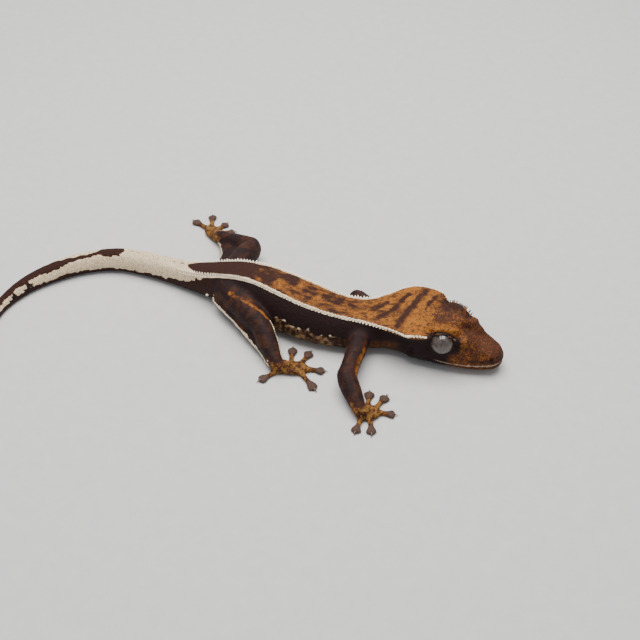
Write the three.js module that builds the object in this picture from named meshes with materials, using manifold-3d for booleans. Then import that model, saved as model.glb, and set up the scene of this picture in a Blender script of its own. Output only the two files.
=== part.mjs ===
// A life-size crested gecko, lying on a level surface with its head to +X and its tail curled to its right.
// Millimetres, +Z up, +Y to the animal's left. The origin is on the floor, under the middle of the belly.
import * as THREE from 'three';
import { LoftGeometry } from 'three/addons/geometries/LoftGeometry.js';
import { mergeVertices } from 'three/addons/utils/BufferGeometryUtils.js';
import Module from 'manifold-3d';

const wasm = await Module();
wasm.setup();

// Driving sizes
const GAP = 0.3; // clear space between two touching nodes
const LIMB_SIDES = 12; // points round a section of a limb
const EYE_RADIUS = 3.35;
const EYE_X = 44.6;
const EYE_HEIGHT = 9.3;
const EYE_OUT = 6.1; // from the middle of the head to the middle of the eye
const WEB_THICKNESS = 1.2; // skin fold behind the knee
const SPINE_SIDES = 5;

// The body from snout to tail tip. x and y place a section on the floor plan. bottom, ridge and top are
// heights: of the underside, of the crest line and of the middle of the back. low, side and crest are half
// widths: at a fifth of the height, at half of it and at the crest line. rows is the number of steps to the
// next station.
const BODY = [
  { x: 61.0, y: 6.7, bottom: 2.6, ridge: 5.0, top: 5.2, low: 0.7, side: 1.0, crest: 0.6, rows: 1 },
  { x: 60.2, y: 6.7, bottom: 1.6, ridge: 6.3, top: 6.6, low: 2.6, side: 2.9, crest: 1.9, rows: 1 },
  { x: 58.2, y: 6.7, bottom: 1.0, ridge: 7.2, top: 7.4, low: 4.1, side: 4.4, crest: 3.0, rows: 1 },
  { x: 54.5, y: 6.8, bottom: 0.7, ridge: 8.4, top: 8.5, low: 5.6, side: 5.8, crest: 4.0, rows: 2 },
  { x: 50.5, y: 6.9, bottom: 0.5, ridge: 9.9, top: 9.7, low: 6.9, side: 7.1, crest: 5.4, rows: 2 },
  { x: 45.5, y: 7.1, bottom: 0.4, ridge: 12.0, top: 11.1, low: 8.3, side: 8.2, crest: 7.6, rows: 2 },
  { x: 40.5, y: 7.3, bottom: 0.4, ridge: 12.5, top: 11.9, low: 9.3, side: 9.3, crest: 9.5, rows: 3 },
  { x: 35.0, y: 7.5, bottom: 0.5, ridge: 12.2, top: 12.6, low: 9.8, side: 10.0, crest: 11.1, rows: 2 },
  { x: 31.0, y: 6.7, bottom: 0.7, ridge: 11.8, top: 12.3, low: 8.7, side: 9.1, crest: 10.4, rows: 2 },
  { x: 26.5, y: 5.2, bottom: 0.8, ridge: 11.1, top: 11.6, low: 7.2, side: 7.6, crest: 7.6, rows: 3 },
  { x: 20.0, y: 3.1, bottom: 0.5, ridge: 10.6, top: 11.1, low: 7.6, side: 7.7, crest: 5.0, rows: 3 },
  { x: 12.5, y: 1.2, bottom: 0.2, ridge: 11.4, top: 12.0, low: 8.4, side: 8.4, crest: 4.6, rows: 3 },
  { x: 4.5, y: 0.6, bottom: 0.0, ridge: 12.6, top: 13.2, low: 8.9, side: 9.0, crest: 4.9, rows: 3 },
  { x: -4.0, y: 1.4, bottom: 0.0, ridge: 13.2, top: 13.7, low: 9.0, side: 9.1, crest: 4.8, rows: 3 },
  { x: -12.5, y: 2.6, bottom: 0.0, ridge: 13.2, top: 13.6, low: 8.2, side: 8.4, crest: 4.4, rows: 3 },
  { x: -20.0, y: 3.0, bottom: 0.2, ridge: 12.4, top: 12.7, low: 6.8, side: 7.2, crest: 3.9, rows: 3 },
  { x: -27.0, y: 2.3, bottom: 0.4, ridge: 11.1, top: 11.4, low: 5.4, side: 5.9, crest: 3.5, rows: 3 },
  { x: -33.5, y: 1.9, bottom: 0.3, ridge: 9.2, top: 9.5, low: 4.0, side: 4.4, crest: 3.1, rows: 3 },
  { x: -42.0, y: 2.3, bottom: 0.0, ridge: 7.2, top: 7.6, low: 3.5, side: 3.9, crest: 2.4, rows: 2 },
  { x: -53.5, y: 2.1, bottom: 0.0, ridge: 6.7, top: 7.1, low: 3.3, side: 3.7, crest: 2.1, rows: 2 },
  { x: -64.0, y: 0.3, bottom: 0.0, ridge: 6.3, top: 6.8, low: 3.2, side: 3.6, crest: 1.9, rows: 2 },
  { x: -73.0, y: -5.1, bottom: 0.0, ridge: 5.8, top: 6.3, low: 3.0, side: 3.4, crest: 1.8, rows: 2 },
  { x: -80.0, y: -13.0, bottom: 0.0, ridge: 5.2, top: 5.7, low: 2.7, side: 3.1, crest: 1.6, rows: 2 },
  { x: -84.6, y: -21.8, bottom: 0.0, ridge: 4.5, top: 4.9, low: 2.3, side: 2.6, crest: 1.3, rows: 2 },
  { x: -86.2, y: -31.2, bottom: 0.0, ridge: 3.5, top: 3.8, low: 1.8, side: 2.0, crest: 1.0, rows: 2 },
  { x: -84.4, y: -40.0, bottom: 0.0, ridge: 2.4, top: 2.6, low: 1.2, side: 1.4, crest: 0.7, rows: 2 },
  { x: -80.6, y: -46.4, bottom: 0.0, ridge: 1.5, top: 1.7, low: 1.0, side: 1.2, crest: 0.6, rows: 2 },
  { x: -78.4, y: -48.6, bottom: 0.0, ridge: 0.8, top: 0.9, low: 0.5, side: 0.6, crest: 0.3, rows: 1 },
];

// The nodes along the body, from the snout back, and the station of BODY where each one ends
const LENGTHS = [
  { name: 'head', end: 8.1, spines: 0 },
  { name: 'neck', end: 9.4, spines: 3 },
  { name: 'chest', end: 11.6, spines: 7 },
  { name: 'belly', end: 14.3, spines: 10 },
  { name: 'hips', end: 17.0, spines: 9 },
  { name: 'tail_1', end: 19.0, spines: 4 },
  { name: 'tail_2', end: 21.0, spines: 0 },
  { name: 'tail_3', end: 23.0, spines: 0 },
  { name: 'tail_4', end: 25.0, spines: 0 },
  { name: 'tail_5', end: 27.0, spines: 0 },
];

// Each limb's two bones: their ends, and the radius at root, thigh, knee, shin and ankle
const LIMBS = {
  arm_right: {
    names: ['upper_arm_right', 'forearm_right', 'hand_right'],
    root: [21.0, -1.5, 5.8], bend: [23.3, -19.0, 5.2], end: [30.8, -26.8, 2.4],
    radii: [3.0, 2.6, 2.9, 2.7, 1.9],
  },
  arm_left: {
    names: ['upper_arm_left', 'forearm_left', 'hand_left'],
    root: [21.5, 5.5, 5.8], bend: [13.0, 12.7, 5.3], end: [16.4, 15.0, 2.4],
    radii: [3.0, 2.5, 2.5, 2.3, 1.8],
  },
  leg_right: {
    names: ['thigh_right', 'shin_right', 'foot_right'],
    root: [-25.5, 0.0, 6.6], bend: [-6.8, -11.5, 6.5], end: [2.2, -20.4, 2.6],
    radii: [4.0, 3.7, 3.2, 2.9, 2.1],
    web: [[-27.0, -5.0, 4.4], [-15.4, -11.6, 3.6], [-4.8, -17.8, 2.4], [-0.4, -20.8, 1.9]],
  },
  leg_left: {
    names: ['thigh_left', 'shin_left', 'foot_left'],
    root: [-25.5, 4.5, 6.6], bend: [-26.2, 20.9, 5.4], end: [-40.4, 24.2, 2.5],
    radii: [4.0, 3.7, 3.2, 2.8, 2.0],
    web: [[-32.4, 7.0, 4.6], [-34.2, 14.2, 4.0], [-36.9, 18.6, 3.0], [-39.4, 22.2, 2.0]],
  },
};

// Each foot's ball on the floor, and for each digit the share of the way from wrist or ankle to ball where it
// starts and the place of its tip
const FEET = {
  arm_right: {
    ball: [33.8, -24.2],
    digits: [
      [0.5, 29.7, -17.0], [0.9, 34.9, -16.6], [1.0, 39.7, -22.4], [0.7, 36.3, -31.9], [0.2, 31.8, -33.2],
    ],
  },
  arm_left: {
    ball: [19.4, 15.8],
    digits: [
      [0.5, 22.3, 13.6], [0.9, 25.3, 15.4], [1.0, 25.3, 18.6], [0.9, 21.6, 21.0], [0.3, 16.2, 19.2],
    ],
  },
  leg_right: {
    ball: [8.0, -17.6],
    digits: [
      [0.6, 2.6, -10.2], [0.9, 8.2, -9.6], [1.0, 15.4, -15.2], [0.9, 15.8, -23.2], [0.25, -0.7, -26.6],
    ],
  },
  leg_left: {
    ball: [-45.4, 27.9],
    digits: [
      [0.5, -35.2, 29.0], [0.7, -37.8, 30.8], [0.8, -42.5, 34.0], [1.0, -49.3, 35.9], [0.9, -54.0, 30.6],
    ],
  },
};

// A digit along its length: share of the length, half width and height
const DIGIT = [
  [0, 0.9, 1.9], [0.42, 0.8, 1.6], [0.6, 0.85, 1.4], [0.74, 1.5, 1.3], [0.88, 1.7, 1.1], [1, 0.6, 0.6],
];
const CLAW_LENGTH = 1.9;
const CLAW_RADIUS = 0.36;

// Palm or sole from wrist or ankle to past the ball: share of the way, half width and height
const PALM = [[-0.02, 1.7, 3.9], [0.35, 2.2, 3.3], [0.8, 2.6, 2.5], [1.2, 2.1, 1.9], [1.45, 1.0, 1.2]];

// Colours of the outer skin
const COLOURS = {
  head: 0x8a5a2c,
  lower_jaw: 0x6d5040,
  back: 0x5a4030,
  tail: 0xa88f6c,
  limb: 0x54402f,
  foot: 0x8c6d3f,
  eye: 0x5d5348,
};

// Solids from closed geometries, and back
function solid(geometry) {
  const bare = new THREE.BufferGeometry();
  bare.setAttribute('position', geometry.attributes.position);
  bare.setIndex(geometry.index);
  const merged = mergeVertices(bare, 1e-4);
  const corners = merged.index.array;
  const kept = [];
  for (let i = 0; i < corners.length; i += 3) {
    const [a, b, c] = corners.slice(i, i + 3);
    if (a !== b && b !== c && c !== a) kept.push(a, b, c);
  }
  const triVerts = Uint32Array.from(kept);
  const vertProperties = Float32Array.from(merged.attributes.position.array);
  return new wasm.Manifold(new wasm.Mesh({ numProp: 3, vertProperties, triVerts }));
}

// A solid through sections, each end closed by a fan of triangles about its middle
function loft(sections) {
  const capped = [sections[0], ...sections, sections[sections.length - 1]];
  for (const i of [0, capped.length - 1]) {
    const middle = new THREE.Vector3();
    capped[i].forEach((point) => middle.add(point));
    middle.divideScalar(capped[i].length);
    capped[i] = capped[i].map(() => middle.clone());
  }
  return solid(new LoftGeometry(capped, { closed: true }));
}

function joined(first, others) {
  return others.reduce((whole, piece) => whole.add(piece), first);
}

function cut(first, others) {
  return others.reduce((whole, piece) => whole.subtract(piece), first);
}

// The largest closed surface of a solid
function largest(whole) {
  const pieces = whole.decompose();
  pieces.sort((a, b) => b.volume() - a.volume());
  return pieces[0];
}

function node(name, whole, colour) {
  const { vertProperties, triVerts } = largest(whole).getMesh();
  const geometry = new THREE.BufferGeometry();
  geometry.setAttribute('position', new THREE.BufferAttribute(Float32Array.from(vertProperties), 3));
  geometry.setIndex(Array.from(triVerts));
  geometry.computeVertexNormals();
  const material = new THREE.MeshStandardMaterial({ color: colour, roughness: 0.7, metalness: 0 });
  const mesh = new THREE.Mesh(geometry, material);
  mesh.name = name;
  return mesh;
}

// A smooth curve through one column of a table, read at a fractional station
function smoothColumn(rows, key) {
  const values = rows.map((row) => row[key]);
  const last = values.length - 1;
  return (station) => {
    const i = Math.min(Math.max(Math.floor(station), 0), last - 1);
    const f = station - i;
    const here = values[i];
    const next = values[i + 1];
    const before = i > 0 ? values[i - 1] : 2 * here - next;
    const after = i + 2 <= last ? values[i + 2] : 2 * next - here;
    const slope = (next - before) / 2;
    const slopeNext = (after - here) / 2;
    const rise = next - here;
    return here + f * (slope + f * (3 * rise - 2 * slope - slopeNext + f * (slope + slopeNext - 2 * rise)));
  };
}

const column = Object.fromEntries(Object.keys(BODY[0]).map((key) => [key, smoothColumn(BODY, key)]));

// Station of the body for a place on the floor plan given by its x, for the straight part forward of the tail
function stationAt(x) {
  let low = 0;
  let high = 19;
  for (let i = 0; i < 40; i += 1) {
    const middle = (low + high) / 2;
    if (column.x(middle) > x) low = middle;
    else high = middle;
  }
  return low;
}

// The body's frame at a station: its middle on the plan, the ways to the head and to the left, and the
// millimetres per station
function frameAt(station) {
  const step = 0.01;
  const ahead = new THREE.Vector3(column.x(station - step), column.y(station - step), 0);
  const behind = new THREE.Vector3(column.x(station + step), column.y(station + step), 0);
  const heading = ahead.clone().sub(behind);
  const pace = heading.length() / (2 * step);
  heading.normalize();
  const left = new THREE.Vector3(-heading.y, heading.x, 0);
  return { middle: new THREE.Vector3(column.x(station), column.y(station), 0), heading, left, pace };
}

// Half of a section from the keel up to the middle of the back, as [out, up]
function halfSection(station, grown) {
  const bottom = column.bottom(station) - grown;
  const ridge = column.ridge(station) + grown;
  const top = column.top(station) + grown;
  const low = column.low(station) + grown;
  const side = column.side(station) + grown;
  const crest = column.crest(station) + grown;
  const height = ridge - bottom;
  const lean = crest > side ? 0.6 : 0.1;
  const flank = (side + crest) / 2 + lean * (side - crest);
  return [
    [0, bottom],
    [0.58 * low, bottom],
    [low, bottom + 0.22 * height],
    [side, bottom + 0.48 * height],
    [flank, bottom + 0.78 * height],
    [crest, ridge],
    [0.5 * crest, THREE.MathUtils.lerp(ridge, top, 0.75)],
    [0, top],
  ];
}

// A whole section as points in space, counter-clockwise as seen from the tail
function section(station, grown = 0) {
  const { middle, left } = frameAt(station);
  const half = halfSection(station, grown);
  const mirrored = half.slice(1, -1).reverse().map(([out, up]) => [-out, up]);
  const outline = half.concat(mirrored).map(([out, up]) => new THREE.Vector3(out, up, 0));
  const curve = new THREE.CatmullRomCurve3(outline, true, 'catmullrom', 0.5);
  const count = outline.length * 2;
  const floor = Math.max(half[0][1], -grown);
  const points = [];
  for (let i = 0; i < count; i += 1) {
    const at = curve.getPoint(i / count);
    const up = Math.max(at.y, floor);
    points.unshift(middle.clone().addScaledVector(left, at.x).setZ(up));
  }
  return points;
}

// The stations where the body has a section, between two of them
function stationsBetween(start, end) {
  const stations = [start];
  BODY.forEach((row, i) => {
    for (let k = 0; k < row.rows; k += 1) {
      const station = i + k / row.rows;
      if (station > start + 0.12 && station < end - 0.12) stations.push(station);
    }
  });
  stations.push(end);
  return stations;
}

function bodyLength(start, end, grown = 0) {
  const sections = stationsBetween(start, end).map((station) => section(station, grown));
  return loft(sections);
}

// A point on the left side's skin at a station and height, with side -1 for the right
function skinPoint(station, height, side) {
  const { middle, left } = frameAt(station);
  const half = halfSection(station, 0);
  let out = half[3][0];
  for (let i = 1; i < 5; i += 1) {
    const [out0, up0] = half[i];
    const [out1, up1] = half[i + 1];
    if (height >= up0 && height <= up1) out = out0 + (out1 - out0) * (height - up0) / (up1 - up0);
  }
  return middle.clone().addScaledVector(left, out * side).setZ(height);
}

// A cone with its base sunk in the skin at a place
function spine(place, direction, radius, height) {
  const sunk = radius * 0.8;
  const cone = new THREE.ConeGeometry(radius, height + sunk, SPINE_SIDES);
  cone.translate(0, (height + sunk) / 2 - sunk, 0);
  const turn = new THREE.Quaternion().setFromUnitVectors(new THREE.Vector3(0, 1, 0), direction);
  cone.applyQuaternion(turn);
  cone.translate(place.x, place.y, place.z);
  return solid(cone);
}

// A row of spines on both crest lines between two stations
function crestSpines(start, end, count, radius, height, lean) {
  const spines = [];
  for (let i = 0; i < count; i += 1) {
    const station = start + (end - start) * (i + 0.5) / count;
    const share = (i + 0.5) / count;
    const { middle, left, heading } = frameAt(station);
    for (const side of [1, -1]) {
      const out = left.clone().multiplyScalar(side);
      const place = middle.clone().addScaledVector(out, column.crest(station) - 0.15);
      place.z = column.ridge(station) - 0.1;
      const direction = new THREE.Vector3(0, 0, 1).addScaledVector(out, lean).addScaledVector(heading, -0.25);
      const size = THREE.MathUtils.lerp(height[0], height[1], share);
      spines.push(spine(place, direction.normalize(), radius, size));
    }
  }
  return spines;
}

// An ellipsoid at a place
function ellipsoid(place, radii, detail = 2) {
  const ball = new THREE.IcosahedronGeometry(1, detail);
  ball.scale(...radii);
  ball.translate(...place);
  return solid(ball);
}

// A tube along points with a radius at each, closed at both ends
function tube(points, radii, sides) {
  const path = points.map((point) => new THREE.Vector3(...point));
  const sections = path.map((point, i) => {
    const before = path[Math.max(i - 1, 0)];
    const after = path[Math.min(i + 1, path.length - 1)];
    const along = after.clone().sub(before).normalize();
    const across = new THREE.Vector3(0, 0, 1).cross(along).normalize();
    const up = along.clone().cross(across);
    const ring = [];
    for (let k = 0; k < sides; k += 1) {
      const angle = 2 * Math.PI * k / sides;
      const offset = across.clone().multiplyScalar(Math.cos(angle)).addScaledVector(up, Math.sin(angle));
      ring.push(point.clone().addScaledVector(offset, -radii[i]));
    }
    return ring;
  });
  return loft(sections);
}

// Half of space beyond a plane, as a big block. The plane stands a half gap before the place.
function beyond(place, normal) {
  const size = 120;
  const block = new THREE.BoxGeometry(size, size, size);
  block.translate(0, 0, size / 2 - GAP / 2);
  const outwards = normal.clone().normalize();
  block.applyQuaternion(new THREE.Quaternion().setFromUnitVectors(new THREE.Vector3(0, 0, 1), outwards));
  block.translate(place.x, place.y, place.z);
  return solid(block);
}

// The mouth: the line of the lips from snout to corner, seen from the side
const MOUTH = [[63, 3.9], [60, 3.75], [55, 3.3], [49, 3.2], [44, 3.7], [40.4, 4.5]];
const JAW_REAR = [[38.6, 3.0], [37.4, -2.0]];

// What lies under the mouth line, lowered by a distance, across the whole head
function underMouth(lowered) {
  const outline = [...MOUTH, ...JAW_REAR.map(([x, z]) => [x + lowered, z])].map(([x, z]) => [x, z - lowered]);
  const shape = new THREE.Shape(outline.map(([x, z]) => new THREE.Vector2(x, z)));
  shape.lineTo(63, -2);
  const block = new THREE.ExtrudeGeometry(shape, { depth: 40, bevelEnabled: false });
  block.rotateX(Math.PI / 2);
  block.translate(0, 28, 0);
  return solid(block);
}

function mouthHeight(x) {
  for (let i = 0; i < MOUTH.length - 1; i += 1) {
    const [x0, z0] = MOUTH[i];
    const [x1, z1] = MOUTH[i + 1];
    if (x <= x0 && x >= x1) return z0 + (z1 - z0) * (x - x0) / (x1 - x0);
  }
  return MOUTH[MOUTH.length - 1][1];
}

// The raised upper lip, from one corner of the mouth round the snout to the other
function upperLip() {
  const right = [];
  const left = [];
  for (let x = 41.5; x <= 59.6; x += 2.2) {
    const station = stationAt(x);
    const height = mouthHeight(x) + 0.75;
    right.push(skinPoint(station, height, -1).toArray());
    left.unshift(skinPoint(station, height, 1).toArray());
  }
  const tip = [60.9, column.y(0), mouthHeight(60.9) + 0.75];
  const points = [...right, tip, ...left];
  return tube(points, points.map(() => 0.5), 6);
}

function eyeCentre(side) {
  return [EYE_X, column.y(5) + side * EYE_OUT, EYE_HEIGHT];
}

// The rim of skin round an eye
function lid(side) {
  const rim = new THREE.TorusGeometry(EYE_RADIUS, 0.5, 5, 20);
  const outward = new THREE.Vector3(0.22, side, 0.55).normalize();
  rim.applyQuaternion(new THREE.Quaternion().setFromUnitVectors(new THREE.Vector3(0, 0, 1), outward));
  const centre = new THREE.Vector3(...eyeCentre(side)).addScaledVector(outward, 1.3);
  rim.translate(centre.x, centre.y, centre.z);
  return solid(rim);
}

function headNode(start, end) {
  const middle = column.y(5);
  const growths = [upperLip()];
  const hollows = [underMouth(0)];
  for (const side of [1, -1]) {
    growths.push(lid(side));
    growths.push(ellipsoid([45.7, middle + side * 6.2, 12.0], [5.2, 3.0, 1.8]));
    hollows.push(ellipsoid(eyeCentre(side), [EYE_RADIUS + GAP, EYE_RADIUS + GAP, EYE_RADIUS + GAP], 3));
    const nostril = skinPoint(stationAt(58.9), 5.9, side);
    hollows.push(ellipsoid(nostril.toArray(), [0.5, 0.5, 0.4], 1));
    const ear = skinPoint(stationAt(36.6), 5.9, side);
    hollows.push(ellipsoid(ear.toArray(), [0.8, 1.1, 1.5], 1));
    for (let i = 0; i < 8; i += 1) {
      const share = i / 7;
      const place = new THREE.Vector3(49.6 - 9.2 * share, 0, 0);
      place.y = middle + side * (7.1 + 2.0 * Math.sin(Math.PI * (0.1 + 0.8 * share)));
      place.z = 12.5;
      const direction = new THREE.Vector3(0.35 - 0.5 * share, side, 0.55).normalize();
      growths.push(spine(place, direction, 0.62, 1.5));
    }
  }
  growths.push(...crestSpines(stationAt(40.2), end - 0.1, 5, 0.7, [1.2, 1.1], 1.1));
  return cut(joined(bodyLength(start, end), growths), hollows);
}

function jawNode() {
  const shrunk = bodyLength(0, stationAt(36), -0.25);
  return shrunk.intersect(underMouth(GAP));
}

// A limb's two lengths as whole solids, each grown outwards by a distance
function limbLengths({ root, bend, end, radii }, grown = 0) {
  const at = (point) => new THREE.Vector3(...point);
  const between = (a, b, share) => at(a).lerp(at(b), share).toArray();
  const past = (a, b, by) => at(b).addScaledVector(at(b).sub(at(a)).normalize(), by).toArray();
  const thick = radii.map((radius) => radius + grown);
  const upper = tube(
    [root, between(root, bend, 0.3), between(root, bend, 0.7), bend, past(root, bend, radii[2] * 0.65)],
    [thick[0], thick[0], thick[1], thick[2], thick[2] * 0.6],
    LIMB_SIDES,
  );
  const lower = tube(
    [past(end, bend, radii[2] * 0.65), bend, between(bend, end, 0.35), between(bend, end, 0.75), end,
      past(bend, end, radii[4] * 0.5)],
    [thick[2] * 0.6, thick[2], thick[3], (thick[3] + thick[4]) / 2, thick[4], thick[4] * 0.8],
    LIMB_SIDES,
  );
  return { upper, lower };
}

// The fold of skin behind the bend of a hind leg, as plates fanned out from the bend
function webPlates({ root, bend, end, web }) {
  if (!web) return [];
  const inner = new THREE.Vector3(...root).lerp(new THREE.Vector3(...bend), 0.2).toArray();
  const outer = new THREE.Vector3(...bend).lerp(new THREE.Vector3(...end), 0.85).toArray();
  const edge = [inner, ...web, outer];
  return edge.slice(1).map((corner, i) => plate(bend, edge[i], corner));
}

// A flat three-cornered fold of skin
function plate(...corners) {
  const points = corners.map((corner) => new THREE.Vector3(...corner));
  const area = points[1].clone().sub(points[0]).cross(points[2].clone().sub(points[0]));
  if (area.z > 0) points.reverse();
  const lowered = points.map((point) => point.clone().setZ(Math.max(point.z - WEB_THICKNESS / 2, 0.2)));
  const raised = lowered.map((point) => point.clone().setZ(point.z + WEB_THICKNESS));
  return loft([raised, lowered]);
}

// A section of a foot or digit that lies flat on the floor
function flatSection(place, across, halfWidth, height) {
  const outline = [[0.75, 0], [1, 0.4], [0.6, 0.9], [0, 1], [-0.6, 0.9], [-1, 0.4], [-0.75, 0]];
  return outline.map(([out, up]) => place.clone().addScaledVector(across, out * halfWidth).setZ(up * height));
}

// A flat-bottomed body along a straight line on the floor: rows of share, half width and height
function flatLoft(from, to, rows) {
  const along = to.clone().sub(from).setZ(0);
  const across = new THREE.Vector3(-along.y, along.x, 0).normalize();
  const sections = rows.map(([share, halfWidth, height]) => {
    const place = from.clone().setZ(0).addScaledVector(along, share);
    return flatSection(place, across, halfWidth, height);
  });
  return loft(sections);
}

function footNode(end, { ball, digits }) {
  const wrist = new THREE.Vector3(end[0], end[1], 0);
  const middle = new THREE.Vector3(ball[0], ball[1], 0);
  const pieces = [];
  for (const [share, x, y] of digits) {
    const start = wrist.clone().lerp(middle, share);
    const tip = new THREE.Vector3(x, y, 0);
    pieces.push(flatLoft(start, tip, DIGIT));
    const along = tip.clone().sub(start).normalize();
    const claw = tip.clone().addScaledVector(along, -0.8).setZ(0.62);
    pieces.push(spine(claw, along.clone().setZ(-0.12).normalize(), CLAW_RADIUS, CLAW_LENGTH));
  }
  return joined(flatLoft(wrist, middle, PALM), pieces);
}

// The three nodes of a limb, parted across the bend and across the wrist or ankle
function limbNodes(limb, foot, torso) {
  const root = new THREE.Vector3(...limb.root);
  const bend = new THREE.Vector3(...limb.bend);
  const end = new THREE.Vector3(...limb.end);
  const { upper, lower } = limbLengths(limb);
  const plates = webPlates(limb);
  const forward = bend.clone().sub(root).normalize();
  const onward = end.clone().sub(bend).normalize();
  const across = forward.clone().add(onward);
  const arriving = onward.clone().setZ(0).normalize();
  const parting = end.clone().addScaledVector(arriving, GAP);
  const shinAside = cut(limbLengths(limb, GAP).lower, [beyond(parting, arriving)]);
  const ankle = tube([limb.end, [foot.ball[0], foot.ball[1], 1.2]], [limb.radii[4], 1], LIMB_SIDES);
  return [
    node(limb.names[0], cut(joined(upper, plates), [beyond(bend, across), torso]), COLOURS.limb),
    node(
      limb.names[1],
      cut(joined(lower, plates), [beyond(bend, across.clone().negate()), beyond(end, arriving), torso]),
      COLOURS.limb,
    ),
    node(limb.names[2], cut(joined(footNode(limb.end, foot), [ankle]), [shinAside, torso]), COLOURS.foot),
  ];
}

const gecko = new THREE.Group();

let start = 0;
for (const { name, end, spines } of LENGTHS) {
  const first = start === 0 ? 0 : start + GAP / 2 / frameAt(start).pace;
  const last = end === BODY.length - 1 ? end : end - GAP / 2 / frameAt(end).pace;
  const colour = name.startsWith('tail') ? COLOURS.tail : COLOURS.back;
  if (name === 'head') {
    gecko.add(node(name, headNode(first, last), COLOURS.head));
  } else {
    const radius = name.startsWith('tail') ? 0.5 : 0.7;
    const height = name.startsWith('tail') ? [0.6, 0.4] : [1.0, 0.9];
    const growths = crestSpines(first, last, spines, radius, height, 0.6);
    gecko.add(node(name, joined(bodyLength(first, last), growths), colour));
  }
  start = end;
}
gecko.add(node('lower_jaw', jawNode(), COLOURS.lower_jaw));
for (const [name, side] of [['eye_left', 1], ['eye_right', -1]]) {
  gecko.add(node(name, ellipsoid(eyeCentre(side), [EYE_RADIUS, EYE_RADIUS, EYE_RADIUS], 3), COLOURS.eye));
}

const torso = bodyLength(stationAt(32), stationAt(-40), GAP);
for (const key of Object.keys(LIMBS)) gecko.add(...limbNodes(LIMBS[key], FEET[key], torso));

export default gecko;
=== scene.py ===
"""The looks of a life-size crested gecko on a level floor, its head to +X and its tail curled to its right.

The tables and shapes are in millimetres, +Z up and +Y to the animal's left, with the origin on the floor
under the middle of the belly. Every finished mesh is brought to metres.
"""
import math

import bmesh
import bpy
import numpy as np
from mathutils import Matrix, Vector, kdtree, noise


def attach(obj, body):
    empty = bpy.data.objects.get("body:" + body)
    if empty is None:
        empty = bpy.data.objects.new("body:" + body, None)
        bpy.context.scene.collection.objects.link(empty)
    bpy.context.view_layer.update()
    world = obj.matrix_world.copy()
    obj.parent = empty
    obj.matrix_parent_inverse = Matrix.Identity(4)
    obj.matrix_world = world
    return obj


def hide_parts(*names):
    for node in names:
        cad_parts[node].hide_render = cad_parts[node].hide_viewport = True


bl_info = {
    "name": "Crested Gecko",
    "version": (1, 0, 0),
    "blender": (4, 5, 0),
    "location": "3D View > Sidebar > Gecko",
    "description": "Dresses the frame of a life-size crested gecko with skin, scales, claws and eyes",
    "category": "Object",
}

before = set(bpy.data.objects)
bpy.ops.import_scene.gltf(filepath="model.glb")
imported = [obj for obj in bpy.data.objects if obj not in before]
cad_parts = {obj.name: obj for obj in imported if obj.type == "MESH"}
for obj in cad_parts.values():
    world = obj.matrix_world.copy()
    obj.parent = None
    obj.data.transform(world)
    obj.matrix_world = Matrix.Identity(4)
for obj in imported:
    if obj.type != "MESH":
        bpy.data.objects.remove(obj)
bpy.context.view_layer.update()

MM = 0.001

# The body from snout to tail tip, one row a station: place on the floor plan, heights of the underside, of
# the crest line and of the middle of the back, and half widths low down, at half height and at the crest line
COLUMNS = ("x", "y", "bottom", "ridge", "top", "low", "side", "crest")
BODY = np.array([
    (61.0, 6.7, 2.6, 5.0, 5.2, 0.7, 1.0, 0.6),
    (60.2, 6.7, 1.6, 6.3, 6.6, 2.6, 2.9, 1.9),
    (58.2, 6.7, 1.0, 7.2, 7.4, 4.1, 4.4, 3.0),
    (54.5, 6.8, 0.7, 8.4, 8.5, 5.6, 5.8, 4.0),
    (50.5, 6.9, 0.5, 9.9, 9.7, 6.9, 7.1, 5.4),
    (45.5, 7.1, 0.4, 12.0, 11.1, 8.3, 8.2, 7.6),
    (40.5, 7.3, 0.4, 12.5, 11.9, 9.3, 9.3, 9.5),
    (35.0, 7.5, 0.5, 12.2, 12.6, 9.8, 10.0, 11.1),
    (31.0, 6.7, 0.7, 11.8, 12.3, 8.7, 9.1, 10.4),
    (26.5, 5.2, 0.8, 11.1, 11.6, 7.2, 7.6, 7.6),
    (20.0, 3.1, 0.5, 10.6, 11.1, 7.6, 7.7, 5.0),
    (12.5, 1.2, 0.2, 11.4, 12.0, 8.4, 8.4, 4.6),
    (4.5, 0.6, 0.0, 12.6, 13.2, 8.9, 9.0, 4.9),
    (-4.0, 1.4, 0.0, 13.2, 13.7, 9.0, 9.1, 4.8),
    (-12.5, 2.6, 0.0, 13.2, 13.6, 8.2, 8.4, 4.4),
    (-20.0, 3.0, 0.2, 12.4, 12.7, 6.8, 7.2, 3.9),
    (-27.0, 2.3, 0.4, 11.1, 11.4, 5.4, 5.9, 3.5),
    (-33.5, 1.9, 0.3, 9.2, 9.5, 4.0, 4.4, 3.1),
    (-42.0, 2.3, 0.0, 7.2, 7.6, 3.5, 3.9, 2.4),
    (-53.5, 2.1, 0.0, 6.7, 7.1, 3.3, 3.7, 2.1),
    (-64.0, 0.3, 0.0, 6.3, 6.8, 3.2, 3.6, 1.9),
    (-73.0, -5.1, 0.0, 5.8, 6.3, 3.0, 3.4, 1.8),
    (-80.0, -13.0, 0.0, 5.2, 5.7, 2.7, 3.1, 1.6),
    (-84.6, -21.8, 0.0, 4.5, 4.9, 2.3, 2.6, 1.3),
    (-86.2, -31.2, 0.0, 3.5, 3.8, 1.8, 2.0, 1.0),
    (-84.4, -40.0, 0.0, 2.4, 2.6, 1.2, 1.4, 0.7),
    (-80.6, -46.4, 0.0, 1.5, 1.7, 1.0, 1.2, 0.6),
    (-78.4, -48.6, 0.0, 0.8, 0.9, 0.5, 0.6, 0.3),
])
LAST_STATION = len(BODY) - 1

# Fineness of the rough shells: points round the body, millimetres between its rings, points round a limb and
# round a toe or palm, and rings to each row of their tables
SECTION_POINTS = 56
RING_STEP = 1.0
LIMB_POINTS = 20
FOOT_POINTS = 18
RINGS_TO_A_ROW = 5

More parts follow.
